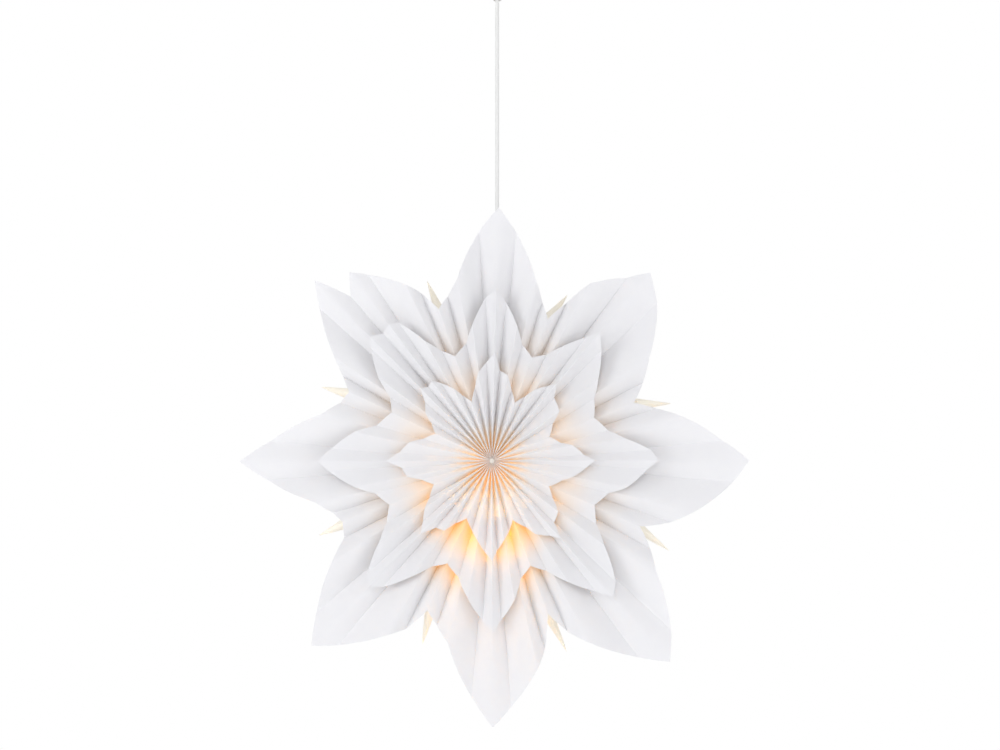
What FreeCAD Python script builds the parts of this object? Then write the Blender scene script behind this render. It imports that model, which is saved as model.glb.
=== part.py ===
"""A folded paper star with eight points that hangs from the ceiling on its flex and is lit from inside.

The star has a front and a back half. Each half is three pleated rosettes, one before the other, and the
halves are held apart by eight folded leaves, one behind each notch. A small lampholder with a globe bulb
hangs in the middle. The flex goes straight up to a ceiling cup, which holds the cord grip and the terminals
and is screwed to a steel bracket.

All sizes are in millimetres and degrees. +Z is up and the star faces -Y. The origin lies on the ceiling,
on the line of the flex.
"""
import FreeCAD, Part
import Sketcher
import math
import os

os.makedirs("parts", exist_ok=True)
doc = FreeCAD.newDocument("paper_star_pendant")

# ---------------------------------------------------------------------------------------------------------
# Driving sizes
# ---------------------------------------------------------------------------------------------------------
SIZES = (
    # ceiling bracket
    ("bracket_thick", 1.5, "steel strap"),
    ("bracket_width", 18, "strap, front to back"),
    ("bracket_gap", 0.6, "outer corners of the ears to the cup's wall"),
    ("ear_drop", 15, "ceiling to the lower end of an ear"),
    ("slot_spacing", 60, "fixing slots, middle to middle"),
    ("slot_width", 4.5, "fixing slot"),
    ("slot_length", 9, "fixing slot, end to end"),
    ("supply_hole_radius", 7, "hole for the supply cable"),
    # ceiling cup
    ("cup_gap", 0.5, "rim below the ceiling"),
    ("cup_height", 62, "rim to floor"),
    ("cup_radius", 50, "outside, at the rim"),
    ("cup_floor_radius", 38, "outside, at the floor"),
    ("cup_straight", 16, "height of the straight band under the rim"),
    ("cup_wall", 2, "plastic wall"),
    ("cup_edge_round", 7, "fillet of the lower edge"),
    ("cup_screw_drop", 9.5, "ceiling to the side screws"),
    ("cup_screw_radius", 2, "thread of the side screws"),
    ("cup_screw_length", 9, "under the head"),
    ("cup_screw_head_radius", 3.8, "pan head"),
    ("cup_screw_head_height", 2.2, "pan head"),
    ("ear_slot_below", 1, "how far the cut of the open slots runs past the ears"),
    ("screw_play", 0.2, "hole over thread, all round"),
    # cord grip in the floor of the cup
    ("grip_radius", 6.5, "threaded tube"),
    ("grip_body_radius", 8, "body above the floor"),
    ("grip_body_height", 18, "floor to the top of the body"),
    ("grip_flange_radius", 10.5, "flange on the floor"),
    ("grip_flange_height", 3, "flange on the floor"),
    ("grip_below_floor", 15.5, "threaded tube under the cup"),
    ("grip_nut_height", 5, "nut under the cup"),
    ("grip_nut_flats", 19, "across the flats"),
    ("grip_seat_rise", 6.5, "cup's floor to the seat of the relief collar"),
    ("clamp_drop", 5, "top of the cord grip to its clamp screw"),
    ("collar_radius", 5.6, "collar of the bend relief"),
    ("collar_height", 2, "collar of the bend relief"),
    ("relief_radius", 4.4, "sleeve of the bend relief"),
    ("relief_bell_radius", 6.4, "bell of the bend relief"),
    ("relief_bell_height", 5.7, "bell of the bend relief"),
    ("running_play", 0.1, "between turning parts, all round"),
    ("end_play", 0.3, "between turning parts, end to end"),
    ("swing_limit", 15, "largest swing of the flex to either side"),
    ("pivot_above_end", 1, "bend of the flex above the lower end of the grip"),
    ("clamp_screw_radius", 1.5, "clamp screw of the cord grip"),
    ("clamp_screw_head_radius", 2.8, "clamp screws"),
    ("clamp_screw_head_height", 1.8, "clamp screws"),
    # flex
    ("flex_radius", 2.8, "round sheathed flex"),
    ("core_radius", 1.2, "insulated wire inside the flex"),
    ("core_spacing", 2.6, "the two wires, middle to middle"),
    ("tail_above_grip", 8, "sheath above the cord grip"),
    ("wire_rise", 7, "how far the two wires stand up from the sheath"),
    ("wire_back", 10.5, "line of the flex to where the wires come down"),
    # terminals in the cup
    ("block_width", 20, "terminal block, sideways"),
    ("block_depth", 14, "terminal block, front to back"),
    ("block_height", 15, "terminal block"),
    ("block_back", 15, "line of the flex to the near side of the block"),
    ("pole_spacing", 10, "two poles of the block"),
    ("pole_height", 9, "wire entries above the cup's floor"),
    ("pole_screw_radius", 2, "terminal screw"),
    ("pole_screw_height", 1.2, "terminal screw, above the block"),
    # star as a whole
    ("star_drop", 730, "ceiling to the middle of the star"),
    ("star_shift", -7, "middle of the star beside the line of the flex"),
    ("paper", 0.2, "thickness of the rosettes' paper"),
    ("tip_flatness", 0.5, "how far the middle fold of a point is flattened at its tip"),
    ("seam_half_turn", 3.7, "the seam lies this far from the two tips beside it"),
    ("seam_second_reach", 324, "second tip at the seam"),
    ("small_seam_share", 0.25, "how deep the seam's cut is in the smaller rosettes, beside the large one"),
    ("seam_valley_reach", 297, "cut between the two tips at the seam"),
    # rosettes, in front of the middle plane
    ("large_facet", 36, "width of a pleat's facet"),
    ("large_middle", 48, "middle plane of the star to the middle of the pleats, at the hub"),
    ("large_rise", 0, "how far the pleats come forward at the tips"),
    ("large_notch", 219, "middle to a notch"),
    ("large_bore", 14, "radius of the hub's opening"),
    ("large_first_bend", 45, "middle to where the folds are set first"),
    ("large_second_bend", 120, "middle to where they are set again"),
    ("medium_facet", 25, "width of a pleat's facet"),
    ("medium_middle", 61.5, "middle plane of the star to the middle of the pleats, at the hub"),
    ("medium_rise", 4.5, "how far the pleats come forward at the tips"),
    ("medium_reach", 232, "middle to a tip"),
    ("medium_notch", 150, "middle to a notch"),
    ("medium_bore", 14, "radius of the hub's opening"),
    ("medium_first_bend", 45, "middle to where the folds are set first"),
    ("small_facet", 17, "width of a pleat's facet"),
    ("small_middle", 73.5, "middle plane of the star to the middle of the pleats, at the hub"),
    ("small_rise", 3.5, "how far the pleats come forward at the tips"),
    ("small_reach", 139, "middle to a tip"),
    ("small_notch", 84, "middle to a notch"),
    ("small_bore", 5, "radius of the hub's opening"),
    ("small_first_bend", 16, "middle to where the folds are set first"),
    ("flattest_pleat", 0.3, "least depth of a pleat, as a share of its facet"),
    # hub cores
    ("paper_seat", 0.3, "between a sheet and what carries it"),
    ("core_back", 27, "middle plane to the inner end of a hub core"),
    ("core_step", 60.5, "middle plane to the step of a hub core"),
    ("core_front", 76, "middle plane to the outer end of a hub core"),
    # leaves between the halves
    ("leaf_paper", 0.5, "two sheets glued together"),
    ("leaf_seat", 1.6, "leaf's edge under the fold, square to the middle plane"),
    ("leaf_inner", 76, "middle of the star to a leaf's inner edge"),
    ("puff_clear", 10, "flange of an eyelet to where the two sheets of a leaf part"),
    ("puff_rise", 24, "from there to where they are furthest apart"),
    ("puff_half_width", 6.8, "half their distance there"),
    ("puff_wall", 0.4, "one sheet where they are apart"),
    ("puff_joint", 2, "solid paper where the two sheets part"),
    ("puff_half_depth", 44, "half the height of the open part, front to back"),
    ("spike_half_depth", 4, "half the height of a leaf's outer end"),
    # hanger inside the top of the star
    ("eyelet_radius", 175, "middle of the star to an eyelet"),
    ("eyelet_bore", 2.2, "bore of an eyelet"),
    ("eyelet_barrel", 3, "barrel of an eyelet"),
    ("eyelet_flange", 5, "flange of an eyelet"),
    ("eyelet_flange_thick", 0.4, "flange of an eyelet"),
    ("hanger_wire_radius", 0.9, "spring wire"),
    ("hanger_ring_wire", 1.15, "the ring is a turn and a half of the wire, pressed together"),
    ("hanger_ring_play", 0.15, "ring over the flex, all round"),
    ("hanger_rise", 24, "eyelets to the ring"),
    ("hanger_shoulder", 9, "line of the flex to where a leg turns down"),
    ("hanger_entry", 8, "straight wire before an eyelet"),
    ("hanger_end", 5, "straight wire behind an eyelet"),
    ("hanger_hook", 7, "upturned end"),
    ("hanger_hook_lean", 1, "how far the upturned end leans out"),
    ("stop_radius", 6.5, "cord stop"),
    ("stop_height", 14, "cord stop"),
    ("moulded_edge", 1, "chamfer of small moulded pieces"),
    # lampholder
    ("holder_top", -4, "middle of the star to the top of the holder's cap"),
    ("holder_radius", 14, "outside"),
    ("holder_wall", 1.6, "plastic wall"),
    ("holder_shoulder", 4, "slope of the cap's shoulder"),
    ("holder_taper", 8, "cap's rim to where the body begins to narrow"),
    ("holder_cap_height", 20, "cap"),
    ("holder_thread", 7, "how far the body goes into the cap"),
    ("nipple_radius", 6, "cord nipple on the cap"),
    ("nipple_height", 9, "cord nipple on the cap"),
    ("flex_in_cap", 6, "end of the flex inside the cap"),
    ("holder_skirt", 34, "cap to the lower rim of the body"),
    ("skirt_radius", 12.5, "outside, at the lower rim"),
    ("seat_thick", 6, "contact seat"),
    ("seat_drop", 2, "cap's lower rim to the contact seat"),
    ("shell_length", 19, "threaded shell"),
    ("shell_wall", 0.5, "threaded shell"),
    ("shell_play", 0.3, "between bulb cap and shell"),
    ("contact_radius", 2.2, "middle contact"),
    ("contact_height", 3, "middle contact"),
    # bulb
    ("bulb_cap_radius", 6.9, "small screw cap"),
    ("bulb_cap_length", 22, "small screw cap"),
    ("bulb_tip_height", 3.5, "insulator and tip above the screw cap"),
    ("bulb_tip_button", 1, "solder button on the insulator"),
    ("bulb_cap_wall", 0.6, "small screw cap"),
    ("bulb_cap_bevel", 1.5, "small screw cap, at its end"),
    ("globe_radius", 22.5, "glass globe"),
    ("bulb_length", 78, "over all"),
    ("glass_wall", 0.8, "glass"),
    ("neck_radius", 7.4, "glass at the cap"),
    ("neck_start", 13.5, "middle of the globe to where the neck leaves it"),
    ("rod_radius", 0.8, "glowing rod"),
    ("rod_circle", 4.6, "the rods stand on this radius"),
    ("rod_length", 24, "glowing rod"),
    ("stem_radius", 1.6, "glass stem"),
    ("stem_plate_radius", 6, "plates that carry the rods"),
    ("stem_plate_thick", 1, "plates that carry the rods"),
    # the eight points of the star, middle to tip
    ("reach_top", 348, "large rosette"),
    ("reach_upper_right", 337, "large rosette"),
    ("reach_right", 350, "large rosette"),
    ("reach_lower_right", 362, "large rosette"),
    ("reach_bottom", 359, "large rosette"),
    ("reach_lower_left", 348, "large rosette"),
    ("reach_left", 343, "large rosette"),
    ("reach_upper_left", 346, "large rosette"),
    # the leaf behind the notch that follows each point, middle to the leaf's outer end
    ("spike_top", 254, "leaf's outer end"),
    ("spike_upper_right", 260, "leaf's outer end"),
    ("spike_right", 272, "leaf's outer end"),
    ("spike_lower_right", 279, "leaf's outer end"),
    ("spike_bottom", 267, "leaf's outer end"),
    ("spike_lower_left", 258, "leaf's outer end"),
    ("spike_left", 258, "leaf's outer end"),
    ("spike_upper_left", 267, "leaf's outer end"),
)

# The eight points, clockwise from the top one as seen from the front. All are in degrees from the top, but
# for the second number, which says how far the point's edges swell: the turn of the tip, the swell, the turn
# of the notch that follows, and the turn of the leaf's end that shows in that notch.
POINTS = (
    ("top", 1.5, 0.00, 21.4, 24.2),
    ("upper_right", 40.0, 0.05, 67.8, 71.7),
    ("right", 89.7, 0.20, 113.6, 116.4),
    ("lower_right", 138.3, 0.15, 160.0, 158.4),
    ("bottom", 179.8, 0.10, 203.0, 201.0),
    ("lower_left", 224.4, 0.10, 247.5, 247.2),
    ("left", 270.0, 0.00, 296.0, 293.9),
    ("upper_left", 315.6, 0.10, 341.0, 340.3),
)
POINT_NAMES = tuple(point[0] for point in POINTS)
ROD_COUNT = 4
SEAM_POINT = "upper_left"
HUNG_LEAVES = ("top", "upper_left")

sheet = doc.addObject("Spreadsheet::Sheet", "sizes")


def write_sizes():
    """Write every driving size into the sheet, one to a row."""
    rows = list(SIZES)
    for name, tip_turn, swell, notch_turn, spike_turn in POINTS:
        rows.append(("turn_" + name, tip_turn, "tip, clockwise from the top"))
        rows.append(("swell_" + name, swell, "edges of the point"))
        rows.append(("notch_" + name, notch_turn, "notch after the point"))
        rows.append(("spike_turn_" + name, spike_turn, "outer end of the leaf in that notch"))
    for row, (alias, number, meaning) in enumerate(rows, 1):
        sheet.set("A%d" % row, alias)
        sheet.set("B%d" % row, str(number))
        sheet.set("C%d" % row, meaning)
        sheet.setAlias("B%d" % row, alias)


write_sizes()
doc.recompute()


def value(formula):
    """The number that a formula of the sheet's sizes gives."""
    result = sheet.evalExpression(str(formula))
    return float(getattr(result, "Value", result))


def size(alias):
    return float(sheet.get(alias))


# Heights that several pieces share, as formulas. Z is 0 at the ceiling.
CUP_FLOOR_UNDER = "(-sizes.cup_gap - sizes.cup_height)"
CUP_FLOOR = "(%s + sizes.cup_wall)" % CUP_FLOOR_UNDER
GRIP_TOP = "(%s + sizes.grip_body_height)" % CUP_FLOOR
GRIP_END = "(%s - sizes.grip_below_floor)" % CUP_FLOOR_UNDER
COLLAR_SEAT = "(%s + sizes.grip_seat_rise)" % CUP_FLOOR
CLAMP_HEIGHT = "(%s - sizes.clamp_drop)" % GRIP_TOP
PIVOT = "(%s + sizes.pivot_above_end)" % GRIP_END
TAIL_END = "(%s + sizes.flex_radius + sizes.screw_play)" % PIVOT
MIDDLE = "(-sizes.star_drop)"
CAP_TOP = "(%s + sizes.holder_top)" % MIDDLE
CAP_RIM = "(%s - sizes.holder_cap_height)" % CAP_TOP
SEAT_UNDER = "(%s - sizes.seat_drop - sizes.seat_thick)" % CAP_RIM
SKIRT_RIM = "(%s - sizes.holder_skirt)" % CAP_RIM
BULB_TOP = "(%s - sizes.contact_height - sizes.end_play)" % SEAT_UNDER
BULB_CAP_TOP = "(%s - sizes.bulb_tip_height)" % BULB_TOP
BULB_CAP_END = "(%s - sizes.bulb_cap_length)" % BULB_CAP_TOP
GLOBE_MIDDLE = "(%s - sizes.bulb_length + sizes.globe_radius)" % BULB_TOP
SHELL_RADIUS = "(sizes.bulb_cap_radius + sizes.shell_play)"

# Sizes that follow from others, as formulas.
BRACKET_REACH = ("sqrt((sizes.cup_radius - sizes.cup_wall - sizes.bracket_gap) ^ 2"
                 " - (sizes.bracket_width / 2) ^ 2)")
PUFF_START = "(sizes.eyelet_radius + sizes.eyelet_flange + sizes.puff_clear)"
PUFF_MIDDLE = "(%s + sizes.puff_rise)" % PUFF_START
HANGER_RING = "(sizes.flex_radius + sizes.hanger_ring_play + sizes.hanger_ring_wire)"
HANGER_LIFT = "(sizes.eyelet_bore - sizes.hanger_wire_radius - sizes.screw_play / 2)"

finished = []


def name_piece(piece, label):
    """Keep a finished sub-part under the name of its file."""
    piece.Label = label
    finished.append(piece)
    return piece


def bind(thing, **formulas):
    """Bind properties of an object to formulas of the sheet."""
    for property_name, formula in formulas.items():
        thing.setExpression(property_name, str(formula))
    return thing


def bind_base(thing, x="0", y="0", z="0"):
    """Bind the place of an object to formulas of the sheet."""
    thing.setExpression("Placement.Base.x", str(x))
    thing.setExpression("Placement.Base.y", str(y))
    thing.setExpression("Placement.Base.z", str(z))
    return thing


# ---------------------------------------------------------------------------------------------------------
# Ways of making
# ---------------------------------------------------------------------------------------------------------
def origin_plane(body, role):
    return next(feature for feature in body.Origin.OriginFeatures if feature.Role == role)


def new_sketch(body, name, role):
    sketch = body.newObject("Sketcher::SketchObject", name)
    sketch.AttachmentSupport = (origin_plane(body, role), [""])
    sketch.MapMode = "FlatFace"
    return sketch


def add_outline(sketch, corners):
    """A closed outline of straight lines through corners, each a pair of formulas."""
    spots = [FreeCAD.Vector(value(across), value(up), 0) for across, up in corners]
    first = sketch.GeometryCount
    for number, spot in enumerate(spots):
        sketch.addGeometry(Part.LineSegment(spot, spots[(number + 1) % len(spots)]), False)
    for number, (across, up) in enumerate(corners):
        following = first + (number + 1) % len(spots)
        sketch.addConstraint(Sketcher.Constraint("Coincident", first + number, 2, following, 1))
        for kind, formula, start in (("DistanceX", across, spots[number].x), ("DistanceY", up, spots[number].y)):
            rule = sketch.addConstraint(Sketcher.Constraint(kind, -1, 1, first + number, 1, start))
            sketch.setExpression("Constraints[%d]" % rule, str(formula))
    return sketch


def add_circle(sketch, across, up, radius):
    """A circle whose middle and radius are formulas."""
    middle = FreeCAD.Vector(value(across), value(up), 0)
    circle = sketch.addGeometry(Part.Circle(middle, FreeCAD.Vector(0, 0, 1), value(radius)), False)
    for kind, formula, start in (("DistanceX", across, middle.x), ("DistanceY", up, middle.y)):
        rule = sketch.addConstraint(Sketcher.Constraint(kind, -1, 1, circle, 3, start))
        sketch.setExpression("Constraints[%d]" % rule, str(formula))
    rule = sketch.addConstraint(Sketcher.Constraint("Radius", circle, value(radius)))
    sketch.setExpression("Constraints[%d]" % rule, str(radius))
    return sketch


def add_slot(sketch, across, length, width):
    """A slot with round ends along the sketch's first axis. Its middle, length and width are formulas."""
    radius = value(width) / 2
    ends = ["(%s + %s * (%s - %s) / 2)" % (across, side, length, width) for side in ("-1", "1")]
    left, right = (FreeCAD.Vector(value(end), 0, 0) for end in ends)
    upward = FreeCAD.Vector(0, radius, 0)
    axis = FreeCAD.Vector(0, 0, 1)
    quarter = math.pi / 2
    bottom = sketch.addGeometry(Part.LineSegment(left - upward, right - upward), False)
    right_arc = sketch.addGeometry(Part.ArcOfCircle(Part.Circle(right, axis, radius), -quarter, quarter), False)
    top = sketch.addGeometry(Part.LineSegment(right + upward, left + upward), False)
    left_arc = sketch.addGeometry(Part.ArcOfCircle(Part.Circle(left, axis, radius), quarter, 3 * quarter), False)
    ring = (bottom, right_arc, top, left_arc)
    for here, following in zip(ring, ring[1:] + ring[:1]):
        sketch.addConstraint(Sketcher.Constraint("Tangent", here, 2, following, 1))
    sketch.addConstraint(Sketcher.Constraint("Equal", right_arc, left_arc))
    rules = [("%s / 2" % width, Sketcher.Constraint("Radius", right_arc, radius))]
    for arc, end, spot in ((left_arc, ends[0], left), (right_arc, ends[1], right)):
        rules.append((end, Sketcher.Constraint("DistanceX", -1, 1, arc, 3, spot.x)))
        rules.append(("0", Sketcher.Constraint("DistanceY", -1, 1, arc, 3, 0)))
    for formula, rule in rules:
        sketch.setExpression("Constraints[%d]" % sketch.addConstraint(rule), formula)
    return sketch


def turned(label, corners, keep=True):
    """A body turned about its Z axis. The corners are pairs of formulas: radius, height."""
    body = doc.addObject("PartDesign::Body", label)
    profile = add_outline(new_sketch(body, label + "_profile", "XZ_Plane"), corners)
    turn = body.newObject("PartDesign::Revolution", label + "_turn")
    turn.Profile = profile
    turn.ReferenceAxis = (profile, ["V_Axis"])
    turn.Angle = 360
    if keep:
        name_piece(body, label)
    return body


def padded(body, label, sketch, length):
    """A pad of a sketch, half to each side of its plane."""
    pad = body.newObject("PartDesign::Pad", label)
    pad.Profile = sketch
    pad.Midplane = True
    return bind(pad, Length=length)


def pocketed(body, label, sketch, one_side=False):
    """A cut of a sketch right through the body, to both sides of its plane or to +X alone."""
    cut = body.newObject("PartDesign::Pocket", label)
    cut.Profile = sketch
    cut.Type = "ThroughAll"
    cut.Midplane = not one_side
    cut.Reversed = one_side
    return cut


def screw_hole(body, label, height):
    """The hole for a clamp screw, through one wall of a round body."""
    hole = new_sketch(body, label + "_hole", "YZ_Plane")
    add_circle(hole, "0", height, "sizes.clamp_screw_radius")
    return pocketed(body, label + "_cut", hole, one_side=True)


def cylinder(label, radius, height, x="0", y="0", z="0"):
    """An upright cylinder on the point x, y, z."""
    piece = doc.addObject("Part::Cylinder", label)
    bind(piece, Radius=radius, Height=height)
    return bind_base(piece, x, y, z)


def lying_cylinder(label, radius, height, x, y, z, toward):
    """A cylinder that lies on the point x, y, z and points along a direction."""
    piece = cylinder(label, radius, height, x, y, z)
    piece.Placement.Rotation = FreeCAD.Rotation(FreeCAD.Vector(0, 0, 1), toward)
    return bind_base(piece, x, y, z)


def fused(label, pieces):
    joined = doc.addObject("Part::MultiFuse", label)
    joined.Shapes = pieces
    return joined


def grouped(label, pieces):
    """Separate solids that share one name."""
    group = doc.addObject("Part::Compound", label)
    group.Links = pieces
    return name_piece(group, label)


def less(label, base, tool):
    cut = doc.addObject("Part::Cut", label)
    cut.Base = base
    cut.Tool = tool
    return cut


def rounded_path(points):
    """Straight runs joined by tangent arcs. Each arc takes 0.45 of the shorter run beside its corner."""
    edges = []
    radii = []
    start = points[0]
    for before, corner, after in zip(points, points[1:], points[2:]):
        inward = (corner - before).normalize()
        outward = (after - corner).normalize()
        half_turn = inward.getAngle(outward) / 2
        reach = 0.45 * min(before.distanceToPoint(corner), corner.distanceToPoint(after))
        radius = reach / math.tan(half_turn)
        toward_middle = (outward - inward).normalize()
        arc_start = corner - inward * reach
        arc_end = corner + outward * reach
        arc_middle = corner + toward_middle * (radius / math.cos(half_turn) - radius)
        edges.append(Part.LineSegment(start, arc_start).toShape())
        edges.append(Part.Arc(arc_start, arc_middle, arc_end).toShape())
        radii.append(radius)
        start = arc_end
    edges.append(Part.LineSegment(start, points[-1]).toShape())
    return Part.Wire(edges), radii


def tube(points, radius, name):
    """A round wire of one radius along a rounded path."""
    path, radii = rounded_path(points)
    along = (points[1] - points[0]).normalize()
    section = Part.Wire([Part.makeCircle(radius, points[0], along)])
    solid = path.makePipeShell([section], True, False)
    share = solid.Volume / (math.pi * radius ** 2 * path.Length)
    print("%s: length %.1f mm, bends %s mm, volume share %.4f"
          % (name, path.Length, " ".join("%.1f" % bend for bend in radii), share))
    return solid


# ---------------------------------------------------------------------------------------------------------
# Ceiling fitting
# ---------------------------------------------------------------------------------------------------------
def make_bracket():
    """A strap bent to a U, with two fixing slots, a cable hole and an open slot in each ear."""
    body = doc.addObject("PartDesign::Body", "bracket_body")
    strap = new_sketch(body, "bracket_profile", "XZ_Plane")
    outer, thick, drop = BRACKET_REACH, "sizes.bracket_thick", "sizes.ear_drop"
    inner = "(%s - %s)" % (outer, thick)
    add_outline(strap, (("-" + outer, "0"), (outer, "0"), (outer, "-" + drop), (inner, "-" + drop),
                        (inner, "-" + thick), ("-" + inner, "-" + thick), ("-" + inner, "-" + drop),
                        ("-" + outer, "-" + drop)))
    padded(body, "bracket_strap", strap, "sizes.bracket_width")
    holes = new_sketch(body, "bracket_holes", "XY_Plane")
    for side in ("-1", "1"):
        add_slot(holes, "(%s * sizes.slot_spacing / 2)" % side, "sizes.slot_length", "sizes.slot_width")
    add_circle(holes, "0", "0", "sizes.supply_hole_radius")
    pocketed(body, "bracket_hole_cut", holes)
    slots = new_sketch(body, "ear_slots", "YZ_Plane")
    half_slot = "(sizes.cup_screw_radius + sizes.screw_play)"
    slot_top = "(-sizes.cup_screw_drop + sizes.cup_screw_radius + sizes.screw_play)"
    slot_end = "(-sizes.ear_drop - sizes.ear_slot_below)"
    add_outline(slots, (("-" + half_slot, slot_end), (half_slot, slot_end),
                        (half_slot, slot_top), ("-" + half_slot, slot_top)))
    pocketed(body, "ear_slot_cut", slots)
    name_piece(body, "ceiling_bracket")


def make_cup():
    """A thin cup, open to the ceiling, with a hole for the cord grip and two for the side screws."""
    rim = "(-sizes.cup_gap)"
    band = "(-sizes.cup_gap - sizes.cup_straight)"
    inner = "(sizes.cup_radius - sizes.cup_wall)"
    hole = "(sizes.grip_radius + sizes.running_play)"
    body = turned("cup_body", (
        (hole, CUP_FLOOR_UNDER), ("sizes.cup_floor_radius", CUP_FLOOR_UNDER), ("sizes.cup_radius", band),
        ("sizes.cup_radius", rim), (inner, rim), (inner, band),
        ("sizes.cup_floor_radius - sizes.cup_wall", CUP_FLOOR), (hole, CUP_FLOOR)), keep=False)
    doc.recompute()
    holes = new_sketch(body, "cup_screw_holes", "YZ_Plane")
    add_circle(holes, "0", "-sizes.cup_screw_drop", "sizes.cup_screw_radius + sizes.screw_play")
    pocketed(body, "cup_screw_cut", holes)
    doc.recompute()
    lower_edge = edge_name(body.Shape, size("cup_floor_radius"), value(CUP_FLOOR_UNDER))
    rounding = body.newObject("PartDesign::Fillet", "cup_rounding")
    rounding.Base = (rounding.BaseFeature, [lower_edge])
    bind(rounding, Radius="sizes.cup_edge_round")
    name_piece(body, "ceiling_cup")


def edge_name(shape, radius, height):
    """The name of the level circular edge with this radius at this height."""
    for number, edge in enumerate(shape.Edges, 1):
        box = edge.BoundBox
        if abs(box.ZMax - height) < 0.01 and abs(box.ZMin - height) < 0.01 and abs(box.XMax - radius) < 0.01:
            return "Edge%d" % number
    raise ValueError("no such edge")


def make_cup_screws():
    """Two pan head screws through the wall of the cup and the slots of the ears."""
    screws = []
    for name, side in (("left", -1), ("right", 1)):
        outward = FreeCAD.Vector(side, 0, 0)
        wall = "%d * sizes.cup_radius" % side
        tip = "%d * (sizes.cup_radius - sizes.cup_screw_length)" % side
        drop = "-sizes.cup_screw_drop"
        thread = lying_cylinder("cup_thread_" + name, "sizes.cup_screw_radius", "sizes.cup_screw_length",
                                tip, "0", drop, outward)
        head = lying_cylinder("cup_head_" + name, "sizes.cup_screw_head_radius",
                              "sizes.cup_screw_head_height", wall, "0", drop, outward)
        screws.append(fused("cup_screw_" + name, [thread, head]))
    grouped("cup_screws", screws)


def make_cord_grip():
    """Threaded tube with a flange on the cup's floor and a chamber for the collar of the bend relief."""
    flange_top = "(%s + sizes.grip_flange_height)" % CUP_FLOOR
    chamber = "(sizes.collar_radius + sizes.running_play)"
    bore = "(sizes.relief_radius + sizes.running_play)"
    tube_body = turned("grip_body", (
        (bore, GRIP_END), ("sizes.grip_radius", GRIP_END), ("sizes.grip_radius", CUP_FLOOR),
        ("sizes.grip_flange_radius", CUP_FLOOR), ("sizes.grip_flange_radius", flange_top),
        ("sizes.grip_body_radius", flange_top), ("sizes.grip_body_radius", GRIP_TOP),
        (chamber, GRIP_TOP), (chamber, COLLAR_SEAT), (bore, COLLAR_SEAT)), keep=False)
    screw_hole(tube_body, "grip_screw", CLAMP_HEIGHT)
    name_piece(tube_body, "cord_grip")
    nut_under = "(%s - sizes.grip_nut_height)" % CUP_FLOOR_UNDER
    nut = doc.addObject("Part::Prism", "nut_blank")
    nut.Polygon = 6
    bind(nut, Circumradius="sizes.grip_nut_flats / 2 / cos(30 * 1 deg)", Height="sizes.grip_nut_height")
    bind_base(nut, z=nut_under)
    bore_tool = cylinder("nut_bore", "sizes.grip_radius", "sizes.grip_nut_height", z=nut_under)
    name_piece(less("nut", nut, bore_tool), "grip_nut")
    sleeve_end = "(%s + sizes.collar_height + sizes.end_play)" % COLLAR_SEAT
    sleeve = turned("sleeve_body", (
        ("sizes.flex_radius", sleeve_end), (chamber, sleeve_end), (chamber, GRIP_TOP),
        ("sizes.flex_radius", GRIP_TOP)), keep=False)
    screw_hole(sleeve, "sleeve_screw", CLAMP_HEIGHT)
    name_piece(sleeve, "clamp_sleeve")
    name_piece(clamp_screw("grip_screw_blank", "sizes.grip_body_radius", CLAMP_HEIGHT), "grip_clamp_screw")


def clamp_screw(label, outside, height):
    """A small screw along +X whose tip bears on the flex and whose head lies against a round body."""
    along = FreeCAD.Vector(1, 0, 0)
    thread = lying_cylinder(label + "_thread", "sizes.clamp_screw_radius", "%s - sizes.flex_radius" % outside,
                            "sizes.flex_radius", "0", height, along)
    head = lying_cylinder(label + "_head", "sizes.clamp_screw_head_radius", "sizes.clamp_screw_head_height",
                          outside, "0", height, along)
    return fused(label, [thread, head])


def make_bend_relief():
    """The sleeve that the flex bends in: it turns in the cord grip and hangs there by its collar."""
    bell_top = "(%s - sizes.end_play)" % GRIP_END
    bell_end = "(%s - sizes.relief_bell_height)" % bell_top
    bore = "(sizes.flex_radius + sizes.running_play)"
    throat = "(sizes.flex_radius + 2 * sizes.running_play)"
    mouth = ("((%s - %s) * tan(sizes.swing_limit * 1 deg)"
             " + sizes.flex_radius / cos(sizes.swing_limit * 1 deg) + 2 * sizes.running_play)" % (PIVOT, bell_end))
    turned("bend_relief", (
        (mouth, bell_end), ("sizes.relief_bell_radius", bell_end), ("sizes.relief_bell_radius", bell_top),
        ("sizes.relief_radius", bell_top), ("sizes.relief_radius", COLLAR_SEAT),
        ("sizes.collar_radius", COLLAR_SEAT), ("sizes.collar_radius", "%s + sizes.collar_height" % COLLAR_SEAT),
        (bore, "%s + sizes.collar_height" % COLLAR_SEAT), (bore, PIVOT), (throat, PIVOT)))


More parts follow.
